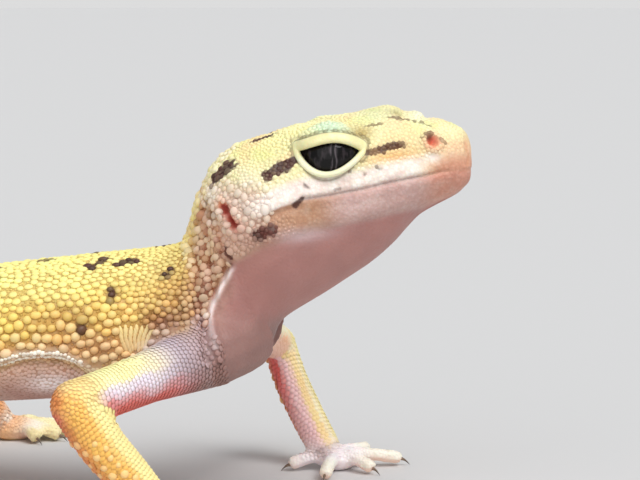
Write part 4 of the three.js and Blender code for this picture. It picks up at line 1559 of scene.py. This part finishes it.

# %% [markdown]
# A raised scale gets painted shade in the crease round its foot and a painted highlight, a paler colour, on
# its top, which is also glossier; this is what makes a gecko's flank look beaded. The top is also slightly
# rough, with a fine grain.

# %% The finish of the scales
bead = Finish("scales")
hue = bead.attribute("hue", "Color")
tip = bead.attribute("tip")
grain = bead.clouds(0.25 * MM)
# The foot of each scale is darkened as painted shade, and its top lightened as a painted highlight.
foot = bead.tinted(hue, (0.52, 0.36, 0.27, 1.0))
crown = bead.tinted(hue, (1.06, 1.05, 1.04, 1.0))
bead.use("Base Color", bead.mix(bead.between(tip, 0.0, 0.62), foot, crown))
bead.use("Roughness", 0.5 - 0.12 * bead.between(tip, 0.4, 1.0) + 0.14 * grain)
bead.use("Specular IOR Level", 0.45)
bead.glow(0.1, 0.5 * MM, (1.0, 0.5, 0.3))
bead.roughen(grain, 0.03 * MM, 0.5)
print("scale finish of", len(bead.tree.nodes), "nodes")

# %% [markdown]
# The legs are clad in small overlapping tiles that stand in staggered rows round the bone, like the rows of
# a fir cone. First the leg is measured: at each row, rays from all round look in at the skin, and their
# mean gives the true middle and girth there.

# %% Measure the legs
RAY_COUNT = 12
ROW_START, ROW_END = -3.5, 1.4  # how far the rows go on past the leg's two ends


def look_in(start, way, reach):
    """The skin's surface met from a place, in mm, or None."""
    hit = skin_tree.ray_cast(Vector(to_metres(start)), Vector(way), reach * MM)[0]
    return None if hit is None else to_mm(hit)


def evened(rows):
    """Each row's value, averaged with those of the four rows before and after it."""
    return np.convolve(np.pad(rows, 4, "edge"), np.ones(9) / 9, "valid")


def units(rows):
    return rows / lengths(rows)[:, None]


def ring(side, up, angles):
    return [side * math.cos(a) + up * math.sin(a) for a in angles]


def measured_leg(name, step):
    """For each row round a leg: how far down, its middle and girth, and the ways ahead, aside and up."""
    fore = "fore" in name
    line = np.array(JOINTS[name])
    bend, end = to_bend(line), lengths(np.diff(line, axis=0)).sum()

    def at(run):
        if run < 0:
            return line[0] + (line[1] - line[0]) / bend * run
        return np.array([np.interp(run, (0, bend, end), line[:, k]) for k in range(3)])

    runs = np.arange(ROW_START, end + ROW_END, step)
    aheads = units(np.array([at(run + 1.8) - at(run - 1.8) for run in runs]))
    sides = units(np.cross(aheads, (0.0, 1.0, 0.2) if fore else (1.0, 0.0, 0.3)))
    ups = np.cross(sides, aheads)
    middles, girths = np.array([at(run) for run in runs]), []
    for row, run in enumerate(runs):
        rays = ring(sides[row], ups[row], np.linspace(0, 2 * math.pi, RAY_COUNT + 1)[:RAY_COUNT])
        share = run / bend
        if fore:
            usual = 2.9 - 1.1 * float(smooth(share, 0.6, 1.3))
        else:
            usual = 4.6 - 2.7 * float(smooth(share, 0, 1.3))
        for _ in range(2):
            met = [look_in(middles[row] + ray * 9.0, -ray, 9.0) for ray in rays]
            met = [m for m in met if m is not None and np.linalg.norm(m - middles[row]) < usual * 1.5]
            if run > 0.35 * bend and len(met) > 8:
                middles[row] += np.clip(np.mean(met, 0) - middles[row], -0.8, 0.8)
                usual = float(np.mean([np.linalg.norm(m - middles[row]) for m in met]))
        girths.append(usual)
    middles = np.stack([evened(middles[:, k]) for k in range(3)], 1)
    return runs, middles, evened(girths), aheads, sides, ups


print(RAY_COUNT, "rays look in at each row")

# %% [markdown]
# Then each row is laid at even steps round the leg, every other row turned by half a step. Tiles that
# landed on another part of the body, or that stand too close where rows meet, are dropped. The rows leave
# out the elbow and the knee, where they would fan out and cross.

# %% Rows of tiles round the legs
TILE_STEPS = {"right_fore": (0.46, 0.53), "left_fore": (0.54, 0.62), "left_hind": (0.5, 0.58),
              "right_hind": (0.5, 0.58)}  # from row to row, and along a row
TILE_GAP = 0.29


def on_leg(name, places, sizes):
    """Which places of a leg's rows are truly on that leg, or on the patch where the arm meets the trunk."""
    part = skin_part[rooted(places)]
    mine = belongs(part, *LEG_PARTS[name][:2]) | belongs(part, *PAWS) & (places[:, 2] > 2.4)
    shoulder = lengths(places - JOINTS[name][0]) < (6.2 if "fore" in name else 0.0)
    trunk_side = belongs(part, "chest", "neck", "throat", "belly") & (places[:, 2] < 23.3)
    ahead = ahead_of_fold(places) - 1.6 * smooth(-places[:, 2], -19.5, -17.5)
    off_throat = (ahead < -0.2) | (np.abs(places[:, 1]) > 11.0)
    return (mine | shoulder & trunk_side) & (places[:, 2] > 1.6) & (sizes < 1.2) & off_throat


def tiled(name, step, width):
    """Places in staggered rows round one leg, the way each leans, and how much room each has."""
    runs, middles, girths, aheads, sides, ups = measured_leg(name, step)
    bend = to_bend(JOINTS[name])
    places, ways, sizes = [], [], []
    for row, run in enumerate(runs):
        if abs(run - bend) < (1.9 if "fore" in name else 2.6):
            continue
        count = 2 * round(math.pi * girths[row] / width)
        start = 9.0 if run < 0.4 * bend else 1.6 * girths[row] + 0.6
        angles = [2 * math.pi * (k + 0.5 * (row % 2)) / count for k in range(count)]
        for out in ring(sides[row], ups[row], angles):
            place = look_in(middles[row] + out * start, -out, start)
            if place is not None:
                places.append(place)
                ways.append(aheads[row])
                sizes.append(2 * math.pi * np.linalg.norm(place - middles[row]) / count)
    places, ways, sizes = np.array(places), np.array(ways), np.array(sizes)
    places, ways, sizes = only(on_leg(name, places, sizes), places, ways, sizes)
    return only(thinned(places, np.full(len(places), TILE_GAP)), places, ways, sizes)


rows = [np.concatenate(kind) for kind in zip(*(tiled(name, *TILE_STEPS[name]) for name in JOINTS))]
print(len(rows[0]), "tiles in rows")

# %% [markdown]
# Elbows, knees, wrists and ankles are filled with scattered tiles of the same size.

# %% Tiles at the joints
FILL_SPACING = 0.46
bend_gap = np.full(len(skin_points), 99.0)
leg_way = np.zeros((len(skin_points), 3))
for name, joints in JOINTS.items():
    mine = skin_of(*LEG_PARTS[name][:2])
    run = to_line(skin_points[mine], np.array(joints))[1]
    bend_gap[mine] = np.abs(run - to_bend(joints)) - (0 if "fore" in name else 0.8)
    leg_way[mine] = np.subtract(joints[2], joints[0])
    paw = skin_of(LEG_PARTS[name][2])
    leg_way[paw] = (skin_points[paw] - joints[2]) * (1.0, 1.0, 0.3)
    wrist = (mine | paw) & (lengths(skin_points - joints[2]) < 3.6)
    bend_gap[wrist & (skin_normals[:, 2] > -0.5) & (skin_points[:, 2] > 1.5)] = 0.0
fill_places, fill_gaps = spread(np.where(bend_gap < 2.6, FILL_SPACING, 0.0), 33, 5, 0.1, (rows[0], 0.37))
fill = (fill_places, leg_way[rooted(fill_places)], fill_gaps)
tiles = [np.concatenate(pair) for pair in zip(rows, fill)]
tile_places, tile_ways, tile_sizes = only(np.argsort(tiles[0][:, 0])[::-1], *tiles)
print(len(tile_places), "tiles on the legs")

# %% [markdown]
# The outer sides of the lower legs, and the thighs, also carry scattered round beads, which stand out pale
# and clean from the tiles around them.

# %% The legs' beads and tiles
KNOB_SPACING = 1.25
KNOB_COLOUR = (1.0, 0.86, 0.62)
x, y, z = skin_points.T
outer_side = skin_of("forearm_right", "shank_right") & (skin_normals[:, 1] < 0.1)
outer_side |= skin_of("forearm_left", "shank_left") & (skin_normals[:, 1] > -0.1)
thigh_top = skin_of("thigh") & (skin_normals[:, 2] > 0.0)
outer_side &= skin_normals[:, 0] < 0.4
knob_room = np.where(outer_side | thigh_top, KNOB_SPACING, 0.0)
knob_room[(z < 4.0) | (z > 12.8) & ~thigh_top] = 0
knob_places, _ = spread(knob_room, 31, 4, 0.15)
knob_sizes = np.random.default_rng(32).uniform(0.34, 0.53, len(knob_places))
free = clear_of(tile_places, knob_places, knob_sizes * 0.8)
tile_places, tile_ways, tile_sizes = only(free, tile_places, tile_ways, tile_sizes)


def lay_tiles(name, chosen):
    room = np.clip(tile_sizes[chosen], 0.3, 0.7)
    px, py, pz = tile_places[chosen].T
    on_arms = px > -30
    near_hand = smooth(-py, 13.5, 18.5) * on_arms
    on_wrist = smooth(-pz, -4.2, -2.8) * on_arms
    far_arm = smooth(py, 0, 4) * on_arms
    foot_shade = (0.92 - 0.34 * near_hand) * (1 - 0.55 * on_wrist) * (1 - 0.4 * far_arm)
    lay_scales(name, tile_places[chosen], room * 0.61, room * 0.18, low_dome, 0.5, ways=tile_ways[chosen],
               lift=0.22, crease=foot_shade)


def knob_tint(colour, places):
    return glaze(colour, KNOB_COLOUR, np.full(len(places), 0.55))


lay_halves(("leg_tiles_fore", "leg_tiles_hind"), tile_places, lay_tiles)
lay_scales("leg_beads", knob_places, knob_sizes, knob_sizes * 0.7, big_dome, tint=knob_tint, crease=0.9)

# %% [markdown]
# Where the arm is drawn back, the skin behind it gathers into a fan of narrow upright ridges. They are laid
# as seven short lines of long beads that spread upwards.

# %% The ridges behind the arm
RIDGES, RIDGE_BEADS = 7, 7
ridge_places, ridge_ways = [], []
for ridge in range(RIDGES):
    foot, head_end = np.array((-20.9 + 0.32 * ridge, 19.7)), np.array((-21.6 + 0.56 * ridge, 22.0))
    for share in np.linspace(0.0, 1.0, RIDGE_BEADS):
        px, pz = foot + (head_end - foot) * (share + 0.07 * (ridge % 2))
        ridge_places.append(look_in((px - 0.2 * math.sin(math.pi * share), -30.0, pz), (0, 1, 0), 40.0))
        ridge_ways.append((head_end[0] - foot[0], 0.0, head_end[1] - foot[1]))
ridge_places, ridge_ways = np.array(ridge_places), np.array(ridge_ways)
ridge_sizes = np.full(len(ridge_places), 0.24)


def ridge_tint(colour, places):
    return glaze(colour, (0.95, 0.86, 0.62), 0.3 + 0.35 * smooth(places[:, 2], 20, 21.8))


lay_scales("arm_ridges", ridge_places, ridge_sizes, ridge_sizes * 0.75, big_dome, 0.0, 2.4, ridge_tint,
           ways=ridge_ways)

# %% [markdown]
# Where the side meets the belly runs a soft fold, with a string of small white beads on its edge, two deep.

# %% The string of beads on the flank
STRING_START, STRING_END = -62.0, -24.8
rng = np.random.default_rng(9)
string_places = []
for side in (-1, 1):
    run = STRING_START
    while run < STRING_END:
        run += 0.40 if run > -40 else 0.8
        level = level_on(FLANK_FOLD, run)
        for drop in (0.15, -0.35):
            start = (run + 0.25 * (drop < 0), side * 40.0, level + drop + rng.uniform(-0.1, 0.1))
            string_places.append(look_in(start, (0, -side, 0), 60.0))
string_places = np.array(string_places)
string_places = string_places[belongs(skin_part[rooted(string_places)], *TRUNK)]
string_sizes = rng.uniform(0.19, 0.33, len(string_places))


def pale_tint(colour, places):
    return glaze(colour, (1, 0.97, 0.90), np.full(len(places), 0.9))


lay_scales("flank_string", string_places, string_sizes, string_sizes * 0.8, big_dome, 0.0, 1.1, pale_tint)

# %% [markdown]
# The flank and back carry round beads about a millimetre across, smaller towards the neck and the shoulder,
# no two quite alike. Along the tail they stand a little farther apart, and on the nape they are tall.

# %% The beads of the back, flank and tail
FLANK_SPACING, BACK_SPACING, TAIL_SPACING, NECK_SPACING, NAPE_SPACING = 1.04, 0.9, 1.1, 0.8, 1.05
rise = rise_at(skin_points)
bead_room = np.zeros(len(x))
flank = skin_of(*TRUNK) & (z > level_on(FLANK_FOLD, x) + 0.3)
bead_room[flank] = FLANK_SPACING
bead_room[flank & (rise > 0.72)] = BACK_SPACING
bead_room[flank] *= (1 - 0.3 * smooth(x, -27, -17))[flank]
tail = skin_of("tail")
bead_room[tail & (rise > 0.25)] = TAIL_SPACING
bead_room[tail & (length_at(skin_points) > VENT + 60)] *= 0.8
neck_side = skin_of("neck") & ((ahead_of_fold(skin_points) < -0.5) | (z > 29.0)) & (z > 23)
bead_room[neck_side] = NECK_SPACING
nape = neck_side & (z > 29.5) & (skin_normals[:, 0] < -0.6) & (np.abs(y) < 6.0)
bead_room[nape] = NAPE_SPACING
taken = np.concatenate((tile_places, ridge_places, string_places))
bead_places, bead_gaps = spread(bead_room, 1, 6, 0.12, (taken, 0.42))
bead_places, bead_gaps = only(np.argsort(bead_places[:, 0]), bead_places, bead_gaps)
bead_sizes = bead_gaps * np.random.default_rng(3).uniform(0.49, 0.60, len(bead_gaps))
on_neck = belongs(skin_part[rooted(bead_places)], "neck")
on_nape = nape[rooted(bead_places)]


def flank_tint(colour, places):
    """Some beads paler and some warmer, most of all low on the side, and each a little lighter or darker."""
    rng = np.random.default_rng(4)
    part = skin_part[rooted(places)]
    rise = rise_at(places)
    pale = rng.uniform(0, 0.35, len(places)) * smooth(0.8 - rise, 0, 0.3)
    pale = np.maximum(pale, belongs(part, "neck") * rng.uniform(0.0, 0.45, len(places)))
    pale *= 1 - 0.9 * under_shoulder(places)
    lighter = glaze(colour, (0.98, 0.92, 0.78), pale)
    warm = rng.uniform(-0.3, 0.4, len(places)) * belongs(part, *TRUNK) * smooth(0.9 - rise, 0, 0.2)
    lighter = glaze(lighter, (0.98, 0.76, 0.42), warm)
    return np.clip(lighter * rng.uniform(0.92, 1.06, len(places))[:, None], 0, 1)


def lay_beads(name, chosen):
    places, sizes = bead_places[chosen], bead_sizes[chosen]
    height = sizes * (1.05 - 0.35 * smooth(rise_at(places), 0.5, 0.8))
    height *= 1 - 0.48 * on_neck[chosen] + 0.9 * on_nape[chosen]
    foot_shade = 1 - 0.38 * on_neck[chosen] + 0.3 * under_shoulder(places)
    lay_scales(name, places, sizes, height, big_dome, 0.3, 1.1, flank_tint, crease=foot_shade, uneven=0.14)


lay_halves(("beads_rear", "beads_front"), bead_places, lay_beads)

# %% [markdown]
# Tiny granules fill the gaps between the beads. They are painted darker, as shade in the gaps, which makes
# the beads stand out.

# %% The granules between the beads
GRANULE_SPACING = 0.42
granule_room = np.where(bead_room > 0, GRANULE_SPACING, 0.0)
beads_round, others_round = (bead_places, bead_sizes + 0.05), (taken, 0.25)
granule_places, granule_gaps = spread(granule_room, 41, 1, 0.1, beads_round, others_round)
granule_places, granule_gaps = only(np.argsort(granule_places[:, 0]), granule_places, granule_gaps)


def gap_shade_tint(colour, places):
    # The granules are darker than the skin they sit on: painted shade between the beads.
    shade = 0.3 * bell(rise_at(places) - 0.66, 0.2) * smooth(places[:, 0], -50, -36)
    return colour * (0.86, 0.72, 0.58) * (1 - shade)[:, None]


def lay_granules(name, chosen):
    gaps = granule_gaps[chosen]
    lay_scales(name, granule_places[chosen], gaps * 0.46, gaps * 0.3, low_dome, 0.2, tint=gap_shade_tint)


lay_halves(("granules_rear", "granules_front"), granule_places, lay_granules)

# %% [markdown]
# Round the ear and on the jaw's corner the scales swell into uneven pale lumps.

# %% The lumps of the cheek
LUMP_SPACING = 0.76
head = skin_of("head", "lower_jaw")
ear_gap, _ = to_line(in_side_view(skin_points), EAR)
beside_ear = np.abs(y) > 4
cheek = head & (x < -5.0 + 2.4 * (z < 34.8)) & (z > 30.0) & (above_jaw_edge(skin_points) > 0.3)
lumpy = cheek & ((z < 38.2) | (x < -9.5)) & (x < -5.0)
bare = (np.abs(y) > 5.2) & (in_opening(skin_points) < 1.15) | (from_nostril(skin_points) < 0.8)
bare |= (ear_gap < 0.36) & beside_ear | (x > 15.9)
lump_room = np.where(lumpy & ~bare & ((ear_gap > 0.66) | ~beside_ear), LUMP_SPACING, 0.0)
lump_room[lumpy & (x > -8.3) & (z < 33.8)] *= 0.7
lump_places, lump_gaps = spread(lump_room, 51, 4, 0.34)
lump_sizes = lump_gaps * np.random.default_rng(52).uniform(0.42, 0.60, len(lump_gaps))


def lump_tint(colour, places):
    rng = np.random.default_rng(53)
    pale = rng.uniform(0, 0.6, len(places)) * smooth(places[:, 2], 31, 34)
    return glaze(colour, (0.99, 0.94, 0.87), pale) * rng.uniform(0.9, 1, len(places))[:, None]


lay_scales("cheek_lumps", lump_places, lump_sizes, lump_sizes * 0.62, big_dome, 0.2, tint=lump_tint,
           crease=0.7, uneven=0.22)

# %% [markdown]
# The rest of the head is covered in smaller, flatter granules: under half a millimetre on the snout and the
# crown, and none on the lips, lids and throat. They stand highest on the crown.

# %% The granules of the head
CROWN_SPACING, SNOUT_SPACING = 0.48, 0.42
lip = above_mouth(skin_points)
head_room = np.zeros(len(x))
head_room[head & (lip > 2.4)] = CROWN_SPACING
head_room[head & (lip > 2.0) & (x > 4)] = SNOUT_SPACING
head_room[cheek] = SNOUT_SPACING
head_room[bare] = 0
near_lumps, near_beads = (lump_places, lump_sizes + 0.04), (bead_places, bead_sizes)
head_places, head_gaps = spread(head_room, 2, 4, 0.15, near_lumps, near_beads)
px, _, pz = head_places.T
flatness = 0.15 + 0.14 * smooth(-px, -3, 6) + 0.06 * bell(px - 10.5, 1.6)
flatness += 0.13 * smooth(pz, 39.5, 42) * smooth(-px, -6.5, -2.5)
on_jaw = (pz < 35.2) & (px > -6.0)
head_sizes = head_gaps * (0.53 - 0.2 * on_jaw * smooth(px, -4.8, -2.6))
head_heights = head_gaps * flatness * (1 - 0.4 * on_jaw)


def head_tint(colour, places):
    return np.clip(colour * np.random.default_rng(6).uniform(0.94, 1.04, len(places))[:, None], 0, 1)


lay_scales("head_granules", head_places, head_sizes, head_heights, small_dome, 0.2, tint=head_tint,
           crease=0.62 - 0.32 * on_jaw, uneven=0.18)

# %% [markdown]
# The backs of the hands and feet carry scales so small and flat that they read as a fine net.

# %% The granules of the hands and feet
PAW_SPACING = 0.36
on_backs = skin_of(*PAWS) & (z > 0.5) & (skin_normals[:, 2] > -0.2)
paw_places, paw_gaps = spread(np.where(on_backs, PAW_SPACING, 0.0), 61, 3, 0.0, (tile_places, 0.3))
on_wrist = smooth(paw_places[:, 2], 1.4, 2.6)
lay_scales("paw_granules", paw_places, paw_gaps * 0.58, paw_gaps * (0.11 + 0.08 * on_wrist), low_dome,
           crease=0.4 - 0.2 * on_wrist)

# %% [markdown]
# The belly and the chest are paved with low smooth tiles that lie backwards. They are the same dome,
# pressed nearly flat.

# %% The tiles of the belly
BELLY_SPACING, UNDER_TAIL_SPACING = 0.44, 0.6
bare_parts = skin_of("head", "throat", "lower_jaw", "claw", "eye", "neck", *PAWS, *LIMBS)
belly_room = np.where((bead_room == 0) & ~bare_parts & (x < -15.0), BELLY_SPACING, 0.0)
belly_room[tail & (bead_room == 0)] = UNDER_TAIL_SPACING
all_taken = np.concatenate((taken, bead_places))
belly_places, belly_gaps = spread(belly_room, 5, 3, 0.0, (all_taken, 0.3))
lay_scales("belly_tiles", belly_places, belly_gaps * 0.58, belly_gaps * 0.13, low_dome, 0.6, 1.15,
           crease=0.75)

# %% [markdown]
# The eyes are almost black, with a wavy upright slit and faint grey-violet marbling that only shows close
# up. A clear wet coat over a rough dark ball gives the deep gloss of a real one.

# %% The eyeballs
eye_finish = Finish("eye")
x_place = eye_finish.node("ShaderNodeSeparateXYZ", "X", {"Vector": eye_finish.place()})
z_place = Value(eye_finish, x_place.socket.node.outputs["Z"])
slit_x = float(to_metres(EYE)[0]) + 0.35 * MM
wave = eye_finish.node("ShaderNodeMath", "Value", {0: z_place / (0.42 * MM)}, operation="SINE")
beside_slit = x_place - slit_x - wave * (0.09 * MM)
offset = eye_finish.node("ShaderNodeMath", "Value", {0: beside_slit}, operation="ABSOLUTE")
slit = 1 - eye_finish.between(offset, 0.05 * MM, 0.2 * MM)
squeeze = {"Vector": eye_finish.place(), "Scale": (1.0, 1.0, 0.3)}
stretched = eye_finish.node("ShaderNodeMapping", "Vector", squeeze)
marble = eye_finish.clouds(0.55 * MM, 4.0, stretched)
veins = eye_finish.between(marble, 0.5, 0.72) * (1 - slit)
iris = eye_finish.mix(veins, (0.003, 0.0022, 0.002, 1.0), (0.04, 0.03, 0.034, 1.0))
outside = eye_finish.between(offset, 0.24 * MM, 0.42 * MM)
edge = eye_finish.between(offset, 0.12 * MM, 0.2 * MM) * (1 - outside)
seen_edge = edge * eye_finish.between(marble, 0.42, 0.6) * 0.8
eye_finish.use("Base Color", eye_finish.mix(seen_edge, iris, (0.11, 0.09, 0.10, 1.0)))
eye_finish.use("Roughness", 0.5)
eye_finish.use("Specular IOR Level", 0.05)
eye_finish.use("Coat Weight", 0.45)
eye_finish.use("Coat Roughness", 0.03)


def finished(bm, name, finish):
    """A smooth piece made from a bmesh and ridden on the body, with its finish."""
    piece = show(name, mesh_of(bm, name))
    smooth_faces(piece.data)
    piece.data.materials.append(finish.material)
    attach(piece, "root")
    return piece


for name, side in (("eyeball_left", 1), ("eyeball_right", -1)):
    bm = bmesh.new()
    place = Matrix.Translation(to_metres(EYE * (1, side, 1)))
    bmesh.ops.create_uvsphere(bm, u_segments=64, v_segments=40, radius=EYE_RADIUS * MM, matrix=place)
    ball = finished(bm, name, eye_finish)
    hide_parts(name.replace("ball", ""))
print("eyes", 2 * EYE_RADIUS, "mm across")

# %% [markdown]
# Leopard geckos are among the few geckos with real eyelids, and their thick pale edges frame the eye. Each
# pair of lids is one ring: an open tube whose first loop touches the eyeball, and whose other loops step
# outwards over a rounded edge and down into the crease that parts the lid from the face.

# %% The finish of the lids
lid_finish = Finish("lids")
noise = lid_finish.clouds(0.5 * MM)
lid_edge = lid_finish.attribute("tip")
level = lid_finish.node("ShaderNodeSeparateXYZ", "Z", {"Vector": lid_finish.place()})
lower_lid = 1 - lid_finish.between(level, (EYE_CORNERS[2] - 1.2) * MM, EYE_CORNERS[2] * MM)
upper_tone = lid_finish.mix(noise, (0.88, 0.80, 0.36, 1.0), (0.95, 0.91, 0.56, 1.0))
lower_tone = lid_finish.mix(noise, (0.90, 0.86, 0.50, 1.0), (0.96, 0.94, 0.74, 1.0))
yellow = lid_finish.mix(lower_lid, upper_tone, lower_tone)
# The outer loops, down in the crease beside the face, and the inner rim, where the lid meets the eyeball, are
# darkened as painted shade.
crease_shading = lid_finish.mix(lid_finish.between(lid_edge, 0.62, 0.8), yellow, (0.20, 0.17, 0.08, 1.0))
rim_shade = 1 - lid_finish.between(lid_edge, 0.04, 0.16)
lid_finish.use("Base Color", lid_finish.mix(rim_shade, crease_shading, (0.10, 0.075, 0.04, 1.0)))
lid_finish.use("Roughness", 0.4)
lid_finish.glow(0.12, 0.6 * MM, (1.0, 0.2, 0.1))
lid_finish.roughen(1 - lid_finish.cells(0.3 * MM), 0.05 * MM, 0.7)
print("lid finish of", len(lid_finish.tree.nodes), "nodes")

# %% [markdown]
# The ring follows the outline of the opening. Each of its loops has a distance out from that outline and a
# height over the face, and together these give the lid its rounded edge.

# %% The lids' outline
LID_STEPS = [(-0.05, -1.2), (0.0, -0.12), (0.07, 0.1), (0.2, 0.24), (0.4, 0.3), (0.6, 0.27), (0.78, 0.17),
             (0.92, 0.03), (1.02, -0.1), (1.2, -0.3)]
LID_SEGMENTS = 112


def opening_outline():
    """The outline of the opening in side view, and the way out from it at each place."""
    share = (1 - np.cos(np.linspace(0, math.pi, LID_SEGMENTS // 2 + 1))) / 2
    upper, lower = lid_edges(share)
    xs = EYE_CORNERS[0] + (EYE_CORNERS[1] - EYE_CORNERS[0]) * share
    outline = np.concatenate((np.stack((xs, upper), 1), np.stack((xs, lower), 1)[-2:0:-1]))
    run = np.roll(outline, -1, 0) - np.roll(outline, 1, 0)
    out = np.stack((-run[:, 1], run[:, 0]), 1)
    for _ in range(4):
        out = units(out)
        out = out + np.roll(out, 1, 0) + np.roll(out, -1, 0)
    return outline, units(out)


outline, out_way = opening_outline()
print("the opening is", np.ptp(outline, 0).round(2), "mm long and high")

# %% [markdown]
# A cone with no ends and two equal radii is a tube. Its long edges are split into as many loops as there
# are steps, and then every point is sent to its place, which a ray finds on the face beside the eye.

# %% The lids


def lid_place(spoke, step, side):
    """Where one point of a lid goes, in mm: on which spoke round the eye, and how many loops out."""
    reach, lift = LID_STEPS[step]
    width = 0.74 + 0.5 * smooth(out_way[spoke][1], 0.1, 0.8)
    x, z = outline[spoke] + out_way[spoke] * reach * width
    if step == 0:
        flat = np.hypot(x - EYE[0], z - EYE[2])
        depth = math.sqrt(max((EYE_RADIUS - 0.05) ** 2 - flat**2, 0.3))
        return np.array((x, side * (EYE[1] + depth), z))
    hit = lid_ground.ray_cast(Vector(to_metres((x, side * 30.0, z))), Vector((0, -side, 0)))[0]
    away = to_mm(hit) - EYE * (1, side, 1)
    return to_mm(hit) + away / np.linalg.norm(away) * lift


def tube(segments, cuts, capped):
    """A tube one unit long along z, its long edges cut that often."""
    bm = bmesh.new()
    bmesh.ops.create_cone(bm, cap_ends=capped, segments=segments, radius1=1.0, radius2=1.0, depth=1.0)
    long_edges = [e for e in bm.edges if abs(e.verts[0].co.z - e.verts[1].co.z) > 0.5]
    bmesh.ops.subdivide_edges(bm, edges=long_edges, cuts=cuts)
    return bm


LOOPS = len(LID_STEPS) - 1
for name, side in (("lids_left", 1), ("lids_right", -1)):
    bm = tube(LID_SEGMENTS, LOOPS - 1, False)
    steps = [round((vert.co.z + 0.5) * LOOPS) for vert in bm.verts]
    for vert, step in zip(bm.verts, steps):
        spoke = round(math.atan2(vert.co.y, vert.co.x) / (2 * math.pi) * LID_SEGMENTS) % LID_SEGMENTS
        vert.co = Vector(to_metres(lid_place(spoke, step, side)))
    for _ in range(2):
        ease_points(bm, [v for v in bm.verts if not v.is_boundary], 0.4)
    bmesh.ops.recalc_face_normals(bm, faces=bm.faces)
    if sum(f.normal.y * side for f in bm.faces) < 0:
        bmesh.ops.reverse_faces(bm, faces=bm.faces)
    lids = finished(bm, name, lid_finish)
    store_number(lids.data, "tip", [step / LOOPS for step in steps])
print("lids of", len(outline), "segments")

# %% [markdown]
# A claw is a short curved cone, thick at the toe and drawn to a fine tip that meets the floor. Each one
# takes its place from the measured claw: the end nearer the palm is its root, and the far end its tip.

# %% The claws
CLAW_ROOT, CLAW_TIP = 0.22, 0.025  # their half widths
CLAW_SHARE = 0.82
CLAW_ARCH = 0.2
claw_finish = Finish("claw")
claw_tip = claw_finish.attribute("tip")
claw_finish.use("Base Color", claw_finish.mix(claw_tip, (0.30, 0.20, 0.13, 1.0), (0.035, 0.024, 0.018, 1.0)))
claw_finish.use("Roughness", 0.32)


def claw_line(name):
    """The root and the tip of a measured claw in mm, and the way across it."""
    own = to_mm(read_points(nodes[name].data))
    centre = own.mean(0)
    palm = to_mm(sum(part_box(name[5:-2]), Vector()) / 2)
    away = np.linalg.svd(own - centre)[2][0] * (1, 1, 0)
    away *= np.sign(away @ (centre - palm)) / np.linalg.norm(away)
    reach = (own - centre) @ away
    root = own[reach < reach.min() + 0.15].mean(0) - 0.5 * away
    tip = root + CLAW_SHARE * (own[reach > reach.max() - 0.15].mean(0) - root)
    tip[2] = 0.06
    return root, tip, np.array((-away[1], away[0], 0.0))


straight = tube(10, 6, True)
straight.verts.layers.float.new("tip")
claw_bm = bmesh.new()
claw_nodes = [name for name in nodes if name.startswith("claw")]
for name in claw_nodes:
    root, tip, across = claw_line(name)
    one = straight.copy()
    marks = one.verts.layers.float["tip"]
    for v in one.verts:
        share = v.co.z + 0.5
        radius = CLAW_ROOT * (1 - share) ** 0.8 + CLAW_TIP
        line = root + (tip - root) * share
        line[2] += CLAW_ARCH * math.sin(math.pi * share)
        v[marks] = share
        place = line + across * v.co.x * radius * 0.8 + np.array((0, 0, v.co.y * radius))
        v.co = Vector(to_metres(np.maximum(place, (-999, -999, 0))))
    one_mesh = mesh_of(one, "one_claw")
    claw_bm.from_mesh(one_mesh)
    bpy.data.meshes.remove(one_mesh)
straight.free()
bmesh.ops.recalc_face_normals(claw_bm, faces=claw_bm.faces)
claws = finished(claw_bm, "claws", claw_finish)
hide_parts(*claw_nodes)
print(len(claw_nodes), "claws")
